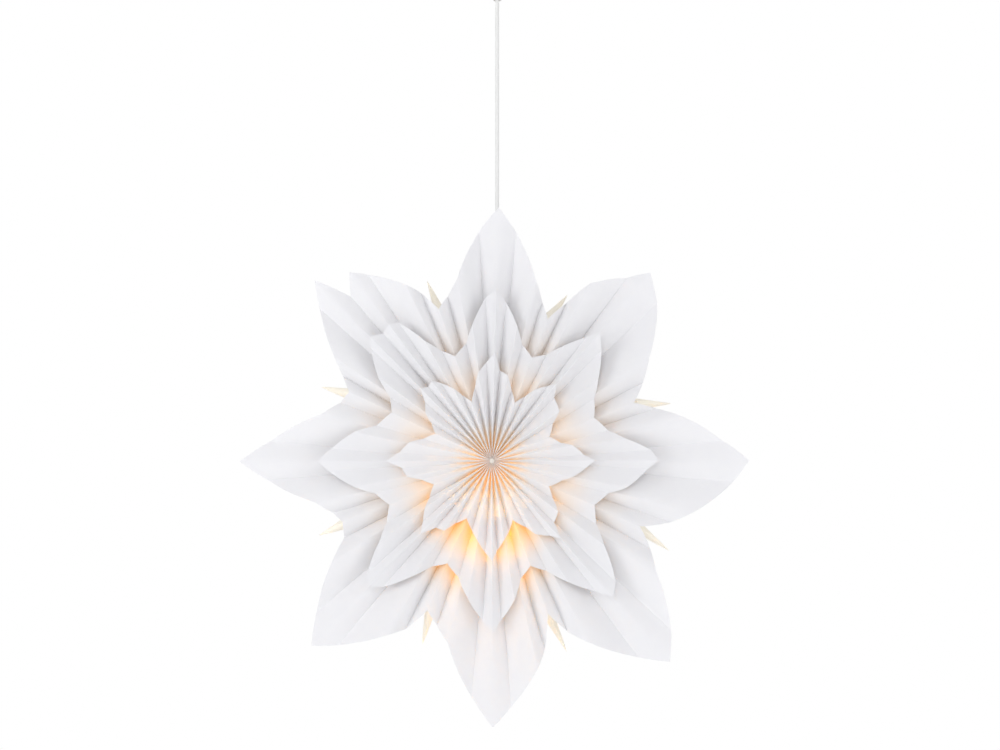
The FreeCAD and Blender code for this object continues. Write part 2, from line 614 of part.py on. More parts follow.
def make_terminals():
    """The end of the flex in the cup, its two wires, and the block that they are screwed into."""
    tail_top = "(%s + sizes.tail_above_grip)" % GRIP_TOP
    name_piece(cylinder("tail", "sizes.flex_radius", "%s - %s" % (tail_top, TAIL_END), z=TAIL_END), "cord_tail")
    block = doc.addObject("Part::Box", "block_blank")
    bind(block, Length="sizes.block_width", Width="sizes.block_depth", Height="sizes.block_height")
    bind_base(block, "-sizes.block_width / 2", "sizes.block_back", CUP_FLOOR)
    bores = []
    screws = []
    for name, side in (("left", "-1"), ("right", "1")):
        pole = "%s * sizes.pole_spacing / 2" % side
        bores.append(lying_cylinder("pole_" + name, "sizes.core_radius + sizes.running_play", "sizes.block_depth", pole,
                                    "sizes.block_back", "%s + sizes.pole_height" % CUP_FLOOR,
                                    FreeCAD.Vector(0, 1, 0)))
        screws.append(cylinder("pole_screw_" + name, "sizes.pole_screw_radius", "sizes.pole_screw_height", pole,
                               "sizes.block_back + sizes.block_depth / 2",
                               "%s + sizes.block_height" % CUP_FLOOR))
    name_piece(less("block", block, fused("poles", bores)), "terminal_block")
    grouped("terminal_screws", screws)
    for label, side in (("neutral_wire", -1), ("live_wire", 1)):
        start_x = side * size("core_spacing") / 2
        end_x = side * size("pole_spacing") / 2
        top = value(tail_top)
        entry = value(CUP_FLOOR) + size("pole_height")
        rise = top + size("wire_rise")
        route = [FreeCAD.Vector(start_x, 0, top), FreeCAD.Vector(start_x, 0, rise),
                 FreeCAD.Vector(end_x, size("wire_back"), rise), FreeCAD.Vector(end_x, size("wire_back"), entry),
                 FreeCAD.Vector(end_x, size("block_back") + size("block_depth") / 2, entry)]
        wire = doc.addObject("Part::Feature", label)
        wire.Shape = tube(route, size("core_radius"), label)
        name_piece(wire, label)


# ---------------------------------------------------------------------------------------------------------
# Pleated paper
# ---------------------------------------------------------------------------------------------------------
# The folds between a tip and a notch: where each lies on that way, whether it is a ridge, how much of the
# reach between notch and tip is left there, and how much a swelling edge adds.
SIDE_FOLDS = (
    (0.25, False, 0.75, 0.3),
    (0.60, True, 0.25, 1.0),
    (0.79, False, 0.09, 0.8),
)


def fold_list():
    """All folds, clockwise. Each has its turn, its kind, a share of the reach between notch and tip, and
    the point that it belongs to. A share of 0 is a notch and a share of 1 is a tip. Ridges and valleys take
    turns, and the point with the seam has two tips with a valley between them."""
    folds = []
    before = size("notch_" + POINT_NAMES[-1]) - 360

    def add(turn, ridge, share, point, tip=False, cut=None):
        folds.append({"turn": turn, "ridge": ridge, "share": share, "point": point, "tip": tip, "cut": cut})

    for name in POINT_NAMES:
        tip = size("turn_" + name)
        after = size("notch_" + name)
        swell = size("swell_" + name)
        last_tip = tip
        add(before, True, 0.0, name)
        for way, ridge, left, gain in reversed(SIDE_FOLDS):
            add(tip - (tip - before) * way, ridge, left + gain * swell, name)
        add(tip, True, 1.0, name, tip=True)
        if name == SEAM_POINT:
            last_tip += 2 * size("seam_half_turn")
            add(tip + size("seam_half_turn"), False, None, name, cut="seam_valley_reach")
            add(last_tip, True, None, name, tip=True, cut="seam_second_reach")
        for way, ridge, left, gain in SIDE_FOLDS:
            add(last_tip + (after - last_tip) * way, ridge, left + gain * swell, name)
        before = after
    return folds


FOLDS = fold_list()
FOLD_STEP = 2 * math.pi / len(FOLDS)


def pleat_depth(tier, radius):
    """Ridge to valley: what is left of a facet's width when its two folds stand apart."""
    return "sqrt(sizes.%s_facet ^ 2 - (%.6f * %s) ^ 2)" % (tier, FOLD_STEP, radius)


def sheet_half_height(tier, radius):
    """Half of the paper's thickness, measured square to the middle plane on the slope of a facet."""
    return "(sizes.paper / 2 * sizes.%s_facet / (%.6f * %s))" % (tier, FOLD_STEP, radius)


def cut_radius(tier, fold):
    """Where the outer edge crosses a fold."""
    notch = size(tier + "_notch")
    large_tip = size("reach_" + fold["point"])
    tip = large_tip if tier == "large" else size(tier + "_reach")
    if fold["share"] is not None:
        return notch + (tip - notch) * fold["share"]
    depth = 1 - size(fold["cut"]) / large_tip
    return tip * (1 - depth * (1 if tier == "large" else size("small_seam_share")))


def rosette_points(tier, bends):
    """For each fold, the middle line of the paper as points with half their thickness."""
    reach = size("large_second_bend") if tier == "large" else size(tier + "_reach")
    facet = size(tier + "_facet")
    lines = []
    for fold in FOLDS:
        outer = cut_radius(tier, fold)
        stations = list(bends) + [(bends[-1] + outer) / 2, outer]
        line = []
        for radius in stations:
            depth = math.sqrt(max(facet ** 2 - (FOLD_STEP * radius) ** 2, (size("flattest_pleat") * facet) ** 2))
            height = size(tier + "_middle") + size(tier + "_rise") * radius / reach
            if not fold["ridge"]:
                height -= depth / 2
            elif fold["tip"]:
                height += depth / 2 * (1 - size("tip_flatness") * radius / outer)
            else:
                height += depth / 2
            half = size("paper") / 2 * math.sqrt(1 + (depth / (FOLD_STEP * radius)) ** 2)
            turn = math.radians(fold["turn"])
            line.append((radius * math.sin(turn), radius * math.cos(turn), height, half))
        lines.append(line)
    return lines


def rosette_shape(tier, bends, front):
    """A closed ring of pleated paper, as flat facets between neighbouring folds."""
    lines = rosette_points(tier, bends)
    toward = -1 if front else 1
    middle = FreeCAD.Vector(size("star_shift"), 0, -size("star_drop"))
    outer_side = [[middle + FreeCAD.Vector(x, toward * (up + half), z) for x, z, up, half in line]
                  for line in lines]
    inner_side = [[middle + FreeCAD.Vector(x, toward * (up - half), z) for x, z, up, half in line]
                  for line in lines]
    faces = []

    def triangle(*corners):
        faces.append(Part.Face(Part.makePolygon(list(corners) + [corners[0]])))

    def strip(first, second):
        """Triangles between two lines of points that may differ in number."""
        here = 0
        there = 0
        while here < len(first) - 1 or there < len(second) - 1:
            step_here = here < len(first) - 1 and (
                there == len(second) - 1 or here * (len(second) - 1) <= there * (len(first) - 1))
            if step_here:
                triangle(first[here], first[here + 1], second[there])
                here += 1
            else:
                triangle(first[here], second[there + 1], second[there])
                there += 1

    for number in range(len(lines)):
        following = (number + 1) % len(lines)
        strip(outer_side[number], outer_side[following])
        strip(inner_side[number], inner_side[following])
        for end in (0, -1):
            strip([outer_side[number][end], outer_side[following][end]],
                  [inner_side[number][end], inner_side[following][end]])
    shell = Part.makeShell(faces)
    shell.sewShape()
    solid = Part.makeSolid(shell)
    if solid.Volume < 0:
        solid.reverse()
    return solid


def make_rosettes():
    """Three rosettes before the middle plane and three behind it."""
    set_at = {
        "large": ("large_bore", "large_first_bend", "large_second_bend"),
        "medium": ("medium_bore", "medium_first_bend"),
        "small": ("small_bore", "small_first_bend"),
    }
    for half, front in (("front", True), ("back", False)):
        for tier, aliases in set_at.items():
            piece = doc.addObject("Part::Feature", "%s_%s_rosette" % (half, tier))
            piece.Shape = rosette_shape(tier, [size(alias) for alias in aliases], front)
            name_piece(piece, "%s_%s_rosette" % (half, tier))


def make_hub_cores():
    """The stepped plugs of rolled card that the rosettes are glued round, front and back."""
    wide = "(sizes.large_bore - sizes.paper_seat)"
    narrow = "(sizes.small_bore - sizes.paper_seat)"
    for half, tilt in (("front", 90), ("back", -90)):
        core = turned("%s_hub_core" % half, (
            ("0", "sizes.core_back"), (wide, "sizes.core_back"), (wide, "sizes.core_step"),
            (narrow, "sizes.core_step"), (narrow, "sizes.core_front"), ("0", "sizes.core_front")))
        core.Placement.Rotation = FreeCAD.Rotation(FreeCAD.Vector(1, 0, 0), tilt)
        bind_base(core, "sizes.star_shift", "0", MIDDLE)


def leaf_edge(radius):
    """How far a leaf reaches at a radius: just under the ridge of the large rosette's notch fold."""
    depth = pleat_depth("large", radius)
    slope = "%s / (%.6f * %s)" % (depth, FOLD_STEP, radius)
    return "(sizes.large_middle + %s / 2 - %s - sizes.leaf_paper / 2 * %s - sizes.leaf_seat)" % (
        depth, sheet_half_height("large", radius), slope)


def make_leaf(number, name):
    """One folded leaf, made lying along X with its height along Z, then turned behind its notch."""
    body = doc.addObject("PartDesign::Body", "leaf_body_%d" % number)
    section = new_sketch(body, "leaf_section_%d" % number, "XY_Plane")
    half = "sizes.leaf_paper / 2"
    reach = "sizes.spike_" + name
    lean = "((sizes.spike_turn_%s - sizes.notch_%s) * 1 deg)" % (name, name)
    tip_x, tip_y = "(%s * cos(%s))" % (reach, lean), "(-%s * sin(%s))" % (reach, lean)
    add_outline(section, (
        ("sizes.leaf_inner", "-" + half), (PUFF_START, "-" + half), (PUFF_MIDDLE, "-sizes.puff_half_width"),
        (tip_x, tip_y), (PUFF_MIDDLE, "sizes.puff_half_width"), (PUFF_START, half), ("sizes.leaf_inner", half)))
    inside = "(sizes.puff_half_width - sizes.puff_wall)"
    share = "%s / sizes.puff_half_width" % inside
    add_outline(section, (
        ("%s + sizes.puff_joint" % PUFF_START, "0"), (PUFF_MIDDLE, "-" + inside),
        ("%s + (%s - %s) * %s" % (PUFF_MIDDLE, tip_x, PUFF_MIDDLE, share), "%s * %s" % (tip_y, share)),
        (PUFF_MIDDLE, inside)))
    padded(body, "leaf_pad_%d" % number, section, "2 * sizes.core_front")
    outline = new_sketch(body, "leaf_outline_%d" % number, "XZ_Plane")
    third = "(sizes.leaf_inner + (%s - sizes.leaf_inner) / 3)" % PUFF_START
    two_thirds = "(sizes.leaf_inner + (%s - sizes.leaf_inner) * 2 / 3)" % PUFF_START
    edge = [(radius, leaf_edge(radius)) for radius in ("sizes.leaf_inner", third, two_thirds, PUFF_START)]
    edge += [(PUFF_START, "sizes.puff_half_depth"), (PUFF_MIDDLE, "sizes.puff_half_depth"),
             (reach, "sizes.spike_half_depth")]
    mirrored = [(across, "-" + up) for across, up in reversed(edge)]
    add_outline(outline, edge + mirrored)
    near, far, high = "sizes.leaf_inner / 2", "(%s + sizes.leaf_inner)" % reach, "(2 * sizes.core_front)"
    add_outline(outline, ((near, "-" + high), (far, "-" + high), (far, high), (near, high)))
    pocketed(body, "leaf_trim_%d" % number, outline)
    if name in HUNG_LEAVES:
        hole = new_sketch(body, "leaf_hole_%d" % number, "XZ_Plane")
        add_circle(hole, "sizes.eyelet_radius", "0", "sizes.eyelet_barrel")
        pocketed(body, "leaf_hole_cut_%d" % number, hole)
    place_in_star(body, size("notch_" + name))
    return name_piece(body, "divider_leaf_%d" % number)


def star_rotation(turn):
    """Turns a piece made along X, height along Z, to this turn of the clock with its height along -Y."""
    stand = FreeCAD.Rotation(FreeCAD.Vector(1, 0, 0), 90)
    clock = FreeCAD.Rotation(FreeCAD.Vector(0, 1, 0), turn - 90)
    return clock.multiply(stand)


def place_in_star(piece, turn):
    piece.Placement.Rotation = star_rotation(turn)
    return bind_base(piece, "sizes.star_shift", "0", MIDDLE)


def make_leaves():
    for number, name in enumerate(POINT_NAMES, 1):
        make_leaf(number, name)


# ---------------------------------------------------------------------------------------------------------
# Hanger
# ---------------------------------------------------------------------------------------------------------
def star_spot(turn, radius, aside=0.0):
    """A point of the middle plane: at a turn and radius, moved aside clockwise."""
    angle = math.radians(turn)
    return FreeCAD.Vector(size("star_shift") + radius * math.sin(angle) + aside * math.cos(angle), 0,
                          -size("star_drop") + radius * math.cos(angle) - aside * math.sin(angle))


# The ring lies this high: over the hole of the eyelet in the leaf after the top point.
HANGER_RING_HEIGHT = ("(%s + (sizes.eyelet_radius + %s) * cos(sizes.notch_top * 1 deg) + sizes.hanger_rise)"
                      % (MIDDLE, HANGER_LIFT))


def make_hanger():
    """A sprung wire with a ring round the flex, hooked into an eyelet in each of the two upper leaves."""
    wire_radius = size("hanger_wire_radius")
    hole_radius = size("eyelet_radius") + value(HANGER_LIFT)
    ring_height = value(HANGER_RING_HEIGHT)
    ring_radius = value(HANGER_RING)
    shape = Part.makeTorus(ring_radius, size("hanger_ring_wire"), FreeCAD.Vector(0, 0, ring_height))
    for side, name in ((1, "top"), (-1, "upper_left")):
        turn = size("notch_" + name)
        route = [FreeCAD.Vector(side * ring_radius, 0, ring_height),
                 FreeCAD.Vector(side * size("hanger_shoulder"), 0, ring_height),
                 star_spot(turn, hole_radius, -side * size("hanger_entry")),
                 star_spot(turn, hole_radius, side * size("hanger_end")),
                 star_spot(turn, hole_radius + size("hanger_hook"),
                           side * (size("hanger_end") + size("hanger_hook_lean")))]
        shape = shape.fuse(tube(route, wire_radius, "hanger leg at the %s leaf" % name))
    wire = doc.addObject("Part::Feature", "hanger_wire")
    wire.Shape = shape
    name_piece(wire, "hanger_wire")
    eyelets = []
    half = "sizes.leaf_paper / 2"
    flange = "(%s + sizes.eyelet_flange_thick)" % half
    for name in HUNG_LEAVES:
        eyelet = turned("eyelet_" + name, (
            ("sizes.eyelet_bore", "-" + flange), ("sizes.eyelet_flange", "-" + flange),
            ("sizes.eyelet_flange", "-" + half), ("sizes.eyelet_barrel", "-" + half),
            ("sizes.eyelet_barrel", half), ("sizes.eyelet_flange", half), ("sizes.eyelet_flange", flange),
            ("sizes.eyelet_bore", flange)), keep=False)
        turn = size("notch_" + name)
        along = star_spot(turn, size("eyelet_radius"), 1) - star_spot(turn, size("eyelet_radius"))
        eyelet.Placement.Rotation = FreeCAD.Rotation(FreeCAD.Vector(0, 0, 1), along)
        angle = "(sizes.notch_%s * 1 deg)" % name
        bind_base(eyelet, "sizes.star_shift + sizes.eyelet_radius * sin%s" % angle, "0",
                  "%s + sizes.eyelet_radius * cos%s" % (MIDDLE, angle))
        eyelets.append(eyelet)
    grouped("hanger_eyelets", eyelets)
    stop_top = "(%s - sizes.hanger_ring_wire)" % HANGER_RING_HEIGHT
    stop_end = "(%s - sizes.stop_height)" % stop_top
    stop_height = "(%s - sizes.stop_height / 2)" % stop_top
    edge = "sizes.moulded_edge"
    stop = turned("stop_body", (
        ("sizes.flex_radius", stop_end), ("sizes.stop_radius - " + edge, stop_end),
        ("sizes.stop_radius", "%s + %s" % (stop_end, edge)), ("sizes.stop_radius", "%s - %s" % (stop_top, edge)),
        ("sizes.stop_radius - " + edge, stop_top), ("sizes.flex_radius", stop_top)), keep=False)
    screw_hole(stop, "stop_screw", stop_height)
    name_piece(stop, "cord_stop")
    name_piece(clamp_screw("stop_screw_blank", "sizes.stop_radius", stop_height), "stop_screw")


# ---------------------------------------------------------------------------------------------------------
# Flex and lampholder
# ---------------------------------------------------------------------------------------------------------
def make_cord():
    """The straight flex, with a round upper end that stays in the throat of the bend relief."""
    cord_end = "(%s - sizes.flex_in_cap)" % CAP_TOP
    run = cylinder("cord_run", "sizes.flex_radius", "%s - %s" % (PIVOT, cord_end), z=cord_end)
    end = doc.addObject("Part::Sphere", "cord_end")
    bind(end, Radius="sizes.flex_radius")
    bind_base(end, z=PIVOT)
    name_piece(fused("cord_tube", [run, end]), "cord")


def make_holder():
    """Cap with its cord nipple, threaded body, contact seat, threaded shell and middle contact."""
    nipple_top = "(%s + sizes.nipple_height)" % CAP_TOP
    screw_height = "(%s + sizes.nipple_height / 2)" % CAP_TOP
    inner = "(sizes.holder_radius - sizes.holder_wall)"
    slope, edge = "sizes.holder_shoulder", "sizes.moulded_edge"
    cap = turned("cap_body", (
        ("sizes.flex_radius", "%s - sizes.holder_wall" % CAP_TOP), ("sizes.flex_radius", nipple_top),
        ("sizes.nipple_radius - " + edge, nipple_top), ("sizes.nipple_radius", "%s - %s" % (nipple_top, edge)),
        ("sizes.nipple_radius", CAP_TOP), ("sizes.holder_radius - " + slope, CAP_TOP),
        ("sizes.holder_radius", "%s - %s" % (CAP_TOP, slope)), ("sizes.holder_radius", CAP_RIM), (inner, CAP_RIM),
        (inner, "%s - %s - %s" % (CAP_TOP, slope, edge)),
        ("%s - %s + %s" % (inner, slope, edge), "%s - sizes.holder_wall" % CAP_TOP)), keep=False)
    screw_hole(cap, "nipple_screw", screw_height)
    name_piece(cap, "holder_cap")
    name_piece(clamp_screw("nipple_screw_blank", "sizes.nipple_radius", screw_height), "holder_clamp_screw")
    bore = "(%s - sizes.holder_wall)" % inner
    seat_top = "(%s - sizes.seat_drop)" % CAP_RIM
    turned("holder_body", (
        ("sizes.skirt_radius - sizes.holder_wall", SKIRT_RIM), ("sizes.skirt_radius", SKIRT_RIM),
        ("sizes.holder_radius", "%s - sizes.holder_taper" % CAP_RIM), ("sizes.holder_radius", CAP_RIM),
        (inner, CAP_RIM),
        (inner, "%s + sizes.holder_thread" % CAP_RIM), (bore, "%s + sizes.holder_thread" % CAP_RIM),
        (bore, SEAT_UNDER)))
    turned("contact_seat", (("0", SEAT_UNDER), (bore, SEAT_UNDER), (bore, seat_top), ("0", seat_top)))
    shell_outer = "(%s + sizes.shell_wall)" % SHELL_RADIUS
    turned("threaded_shell", (
        (SHELL_RADIUS, "%s - sizes.shell_length" % SEAT_UNDER),
        (shell_outer, "%s - sizes.shell_length" % SEAT_UNDER), (shell_outer, SEAT_UNDER),
        (SHELL_RADIUS, SEAT_UNDER)))
    name_piece(cylinder("middle_contact_blank", "sizes.contact_radius", "sizes.contact_height",
                        z="%s - sizes.contact_height" % SEAT_UNDER), "middle_contact")


def globe_shape():
    """A thin globe with a neck, turned from one half section."""
    middle, top = value(GLOBE_MIDDLE), value(BULB_CAP_END)
    rise = size("neck_start")
    ends = []
    edges = []
    for shrink in (0, size("glass_wall")):
        radius = size("globe_radius") - shrink
        side = math.sqrt(radius ** 2 - rise ** 2)
        halfway = math.radians(90) - (math.radians(90) + math.asin(rise / radius)) / 2
        neck = FreeCAD.Vector(size("neck_radius") - shrink, 0, top)
        shoulder = FreeCAD.Vector(side, 0, middle + rise)
        flank = FreeCAD.Vector(radius * math.sin(halfway + math.pi / 2), 0,
                               middle + radius * math.cos(halfway + math.pi / 2))
        bottom = FreeCAD.Vector(0, 0, middle - radius)
        edges += [Part.LineSegment(neck, shoulder), Part.Arc(shoulder, flank, bottom)]
        ends.append((neck, bottom))
    edges += [Part.LineSegment(ends[0][0], ends[1][0]), Part.LineSegment(ends[0][1], ends[1][1])]
    section = Part.Face(Part.Wire(Part.__sortEdges__([edge.toShape() for edge in edges])))
    return section.revolve(FreeCAD.Vector(0, 0, 0), FreeCAD.Vector(0, 0, 1), 360)


def make_bulb():
    """Screw cap, insulated tip, thin glass globe, and inside it four rods on a glass stem."""
    bevel = "sizes.bulb_cap_bevel"
    cap_radius = "sizes.bulb_cap_radius"
    turned("bulb_tip", (
        ("0", BULB_CAP_TOP), ("%s - %s" % (cap_radius, bevel), BULB_CAP_TOP),
        ("sizes.contact_radius", "%s - sizes.bulb_tip_button" % BULB_TOP), ("sizes.contact_radius", BULB_TOP),
        ("0", BULB_TOP)))
    inner = "(%s - sizes.bulb_cap_wall)" % cap_radius
    turned("bulb_cap", (
        (inner, BULB_CAP_END), (cap_radius, BULB_CAP_END), (cap_radius, "%s - %s" % (BULB_CAP_TOP, bevel)),
        ("%s - %s" % (cap_radius, bevel), BULB_CAP_TOP), ("0", BULB_CAP_TOP),
        ("0", "%s - sizes.bulb_cap_wall" % BULB_CAP_TOP),
        (inner, "%s - sizes.bulb_cap_wall - %s" % (BULB_CAP_TOP, bevel))))
    glass = doc.addObject("Part::Feature", "bulb_glass")
    glass.Shape = globe_shape()
    name_piece(glass, "bulb_glass")
    lower = "(%s - sizes.rod_length / 2)" % GLOBE_MIDDLE
    upper = "(%s + sizes.rod_length / 2)" % GLOBE_MIDDLE
    plate, thick = "sizes.stem_plate_radius", "sizes.stem_plate_thick"
    stem_top = "(%s - sizes.end_play)" % BULB_CAP_END
    turned("bulb_stem", (
        ("0", "%s - %s" % (lower, thick)), (plate, "%s - %s" % (lower, thick)), (plate, lower),
        ("sizes.stem_radius", lower), ("sizes.stem_radius", upper), (plate, upper),
        (plate, "%s + %s" % (upper, thick)), ("sizes.stem_radius * 2", "%s + %s" % (upper, thick)),
        ("sizes.neck_radius - 2 * sizes.glass_wall", stem_top), ("0", stem_top)))
    rods = []
    for number in range(ROD_COUNT):
        rod = cylinder("rod_%d" % number, "sizes.rod_radius", "sizes.rod_length",
                       "sizes.rod_circle * cos(%g * 1 deg)" % (number * 360 / ROD_COUNT),
                       "sizes.rod_circle * sin(%g * 1 deg)" % (number * 360 / ROD_COUNT), lower)
        rods.append(rod)
    grouped("bulb_rods", rods)


make_bracket()
make_cup()
make_cup_screws()
make_cord_grip()
make_bend_relief()
make_terminals()
make_cord()
make_hanger()
make_rosettes()
make_hub_cores()
make_leaves()
make_holder()
make_bulb()
doc.recompute()

# ---------------------------------------------------------------------------------------------------------
# Checks and files
# ---------------------------------------------------------------------------------------------------------
for thing in doc.Objects:
    if "Invalid" in thing.State or "Error" in thing.State:
        raise RuntimeError("%s did not build" % thing.Name)
for piece in finished:
    if piece.Shape.isNull() or not piece.Shape.isValid():
        raise RuntimeError("%s has no valid shape" % piece.Label)
for piece in finished:
    piece.Shape.exportStep("parts/%s.step" % piece.Label)
box = finished[0].Shape.BoundBox
for piece in finished:
    box.add(piece.Shape.BoundBox)
print("%d sub-parts, %.0f x %.0f x %.0f mm" % (len(finished), box.XLength, box.YLength, box.ZLength))
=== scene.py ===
# %% [markdown]
# # A pleated paper star, lit from inside
# The real object is a hanging lamp shade that folds flat like a fan. Strips of white paper are pleated, cut
# to eight points and glued into rings. Three rings of falling size lie one before the other, the same in
# front and behind, and eight folded leaves hold the two halves apart. A small bulb hangs inside on a white
# flex.
# This lesson loads the CAD model as a fixed frame and dresses it: the paper is folded again with Geometry
# Nodes, with the soft folds and crumples that the solids lack, and everything that stays from the CAD gets a
# material.

# %% Load the frame
import math
import random

import bmesh
import bpy
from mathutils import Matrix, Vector


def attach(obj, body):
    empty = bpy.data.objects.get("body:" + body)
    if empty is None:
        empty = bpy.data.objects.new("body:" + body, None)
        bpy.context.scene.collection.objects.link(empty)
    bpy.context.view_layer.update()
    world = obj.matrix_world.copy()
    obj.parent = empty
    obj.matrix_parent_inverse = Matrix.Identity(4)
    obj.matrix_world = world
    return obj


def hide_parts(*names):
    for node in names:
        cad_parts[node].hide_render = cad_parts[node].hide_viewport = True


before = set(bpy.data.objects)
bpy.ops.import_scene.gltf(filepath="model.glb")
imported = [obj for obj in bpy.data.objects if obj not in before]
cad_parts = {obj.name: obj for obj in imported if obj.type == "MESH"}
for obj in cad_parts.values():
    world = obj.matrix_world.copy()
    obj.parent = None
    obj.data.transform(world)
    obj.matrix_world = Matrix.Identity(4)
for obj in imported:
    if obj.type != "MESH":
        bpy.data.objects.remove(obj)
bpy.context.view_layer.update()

MM = 0.001

# %% [markdown]
# ## Small helpers
# Colours are written as sRGB hex values, as a paint chart gives them, but shaders mix light in linear values.
# One function does that step. A second one adds a node, gives it its settings and links its inputs, so that
# a whole tree reads like a recipe from the first line to the last. A third one puts an object in the scene.


# %% Colours and nodes
def linear(code):
    """A hex colour as the linear values that shaders use."""
    shares = [int(code[i:i + 2], 16) / 255 for i in (1, 3, 5)]
    return tuple(s / 12.92 if s <= 0.04045 else ((s + 0.055) / 1.055) ** 2.4 for s in shares) + (1.0,)


def add(tree, kind, inputs=None, **settings):
    """Adds one node. inputs gives each socket, by name or number, a value or what to link it to."""
    node = tree.nodes.new(kind)
    for name, value in settings.items():
        setattr(node, name, value)
    for key, value in (inputs or {}).items():
        socket = node.inputs[key]
        source = value.outputs[0] if isinstance(value, bpy.types.Node) else value
        if isinstance(source, bpy.types.NodeSocket):
            tree.links.new(source, socket)
        else:
            socket.default_value = source
    return node


def put(name, data):
    """Makes an object from its data and puts it in the scene."""
    thing = bpy.data.objects.new(name, data)
    bpy.context.scene.collection.objects.link(thing)
    return thing


# %% [markdown]
# ## Camera
# The photograph was taken from the front, from a little below the star's middle, with a long lens: the
# points at the top and bottom are hardly drawn together. So the camera stands more than three metres away.

# %% Camera
TIP_PLANE = -0.048  # the large ring's middle plane, which the camera is aimed at
DISTANCE = 3.2
camera_data = bpy.data.cameras.new("photo_camera")
camera_data.lens = 84.7
camera_data.sensor_width = 36
camera = put("photo_camera", camera_data)
camera.location = (0.004, TIP_PLANE - DISTANCE, -0.82)
AIM = Vector((0.004, TIP_PLANE, -0.612))
camera.rotation_euler = (AIM - camera.location).to_track_quat("-Z", "Y").to_euler()
bpy.context.scene.camera = camera
print("camera at", tuple(camera.location), "aimed at", tuple(AIM))

# %% [markdown]
# ## The flex
# The flex is a round white sheathed cable of 5.6 mm. It comes out of the bend relief under the ceiling cup
# and goes straight down into the lampholder, pulled taut by the star's weight. A curve with a round bevel
# keeps its line exact, and its two inner points near the ends hold the long stretch straight. The bevel is
# one metre deep and each point's radius brings it down to the flex's own, so the curve's box is right too.

# %% Flex
FLEX_RADIUS = 2.8 * MM
FLEX_TOP, FLEX_END = -77 * MM, -740 * MM
FLEX_LEAD = 34 * MM
FLEX_LINE = (FLEX_TOP, FLEX_TOP - FLEX_LEAD, FLEX_END + FLEX_LEAD, FLEX_END)

curve = bpy.data.curves.new("flex", "CURVE")
curve.dimensions = "3D"
curve.bevel_depth = 1.0
curve.bevel_resolution = 5
curve.use_fill_caps = True
spline = curve.splines.new("NURBS")
spline.points.add(len(FLEX_LINE) - 1)
for point, height in zip(spline.points, FLEX_LINE):
    point.co = (0, 0, height, 1)
    point.radius = FLEX_RADIUS
spline.order_u = 3
spline.use_endpoint_u = True
flex = put("flex", curve)
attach(flex, "pendant")
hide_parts("cord")
print("flex of %.0f mm" % ((FLEX_TOP - FLEX_END) / MM))

# %% [markdown]
# ## Paper
# White book paper of about 160 g is a mat of plant fibres. It scatters light from its face and lets a part of
# it through. So the shader mixes a diffuse share with a translucent one. The fibres show as a faint mottle
# and a bump of a quarter of a millimetre. Close to the bulb, a painted glow stands in for the lamp's light in
# the folds. How strong it is at each point is worked out below, where the paper is folded, and is stored on
# the mesh as an attribute. Here that value tints the paper warm and lets it shine a little: painted light.


# %% Paper material
CLOUDS, FIBRES, RELIEF = 9 * MM, 1.2 * MM, 0.25 * MM  # size of the mottle and of the fibres, and their depth
PAINTED_GLOW_TINT = ("#fac66e", 0.9)  # painted warm tint that stands in for lamp light in the paper, and its largest share
PAINTED_GLOW_SHINE = ("#ffbc4c", 0.24)  # colour and largest strength of the painted glow that the paper gives off


def paper_material(name, face, through, share, glow=None, with_painted_glow=False):
    """Uncoated paper: face is the two colours that it scatters, through the colour that it lets pass, share
    how much passes and glow the colour and strength of a painted glow, an emission that stands in for lamp
    light between two glued sheets. With the last argument set, the mesh's own attribute says where the paper
    is tinted warm and given a painted glow in place of the bulb's light."""
    material = bpy.data.materials.new(name)
    material.use_nodes = True
    tree = material.node_tree
    tree.nodes.clear()
    place = add(tree, "ShaderNodeTexCoord").outputs["Object"]
    clouds = add(tree, "ShaderNodeTexNoise", {"Vector": place, "Scale": 1 / CLOUDS, "Detail": 4.0,
                                              "Roughness": 0.6})
    fibres = add(tree, "ShaderNodeTexNoise", {"Vector": place, "Scale": 1 / FIBRES, "Detail": 3.0,
                                              "Roughness": 0.7})
    bump = add(tree, "ShaderNodeBump", {"Height": fibres.outputs["Fac"], "Strength": 0.35,
                                        "Distance": RELIEF})
    tone = add(tree, "ShaderNodeMapRange", {"Value": clouds.outputs["Fac"], "From Min": 0.3, "From Max": 0.7,
                                            "To Min": 0.0, "To Max": 0.5})
    shade = add(tree, "ShaderNodeMix", {0: tone, 6: linear(face[0]), 7: linear(face[1])}, data_type="RGBA")
    colour = shade.outputs[2]
    # Painted light: where the attribute says, the paper's colour is tinted warm and it gives off a little
    # light, in place of the bulb's light through the folds.
    if with_painted_glow:
        painted_glow_share = add(tree, "ShaderNodeAttribute", attribute_name="painted_glow_share").outputs["Fac"]
        warm = add(tree, "ShaderNodeMath", {0: painted_glow_share, 1: PAINTED_GLOW_TINT[1]}, operation="MULTIPLY")
        tinted = add(tree, "ShaderNodeMix", {0: warm, 6: colour, 7: linear(PAINTED_GLOW_TINT[0])}, data_type="RGBA")
        colour = tinted.outputs[2]
        given = add(tree, "ShaderNodeMath", {0: painted_glow_share, 1: PAINTED_GLOW_SHINE[1]}, operation="MULTIPLY")
        glow = (PAINTED_GLOW_SHINE[0], given)
    front = add(tree, "ShaderNodeBsdfDiffuse", {"Color": colour, "Roughness": 0.6, "Normal": bump})
    back = add(tree, "ShaderNodeBsdfTranslucent", {"Color": linear(through), "Normal": bump})
    mix = add(tree, "ShaderNodeMixShader", {0: share, 1: front, 2: back})
    if glow:
        shine = add(tree, "ShaderNodeEmission", {"Color": linear(glow[0]), "Strength": glow[1]})
        mix = add(tree, "ShaderNodeAddShader", {0: mix, 1: shine})
    add(tree, "ShaderNodeOutputMaterial", {"Surface": mix})
    return material


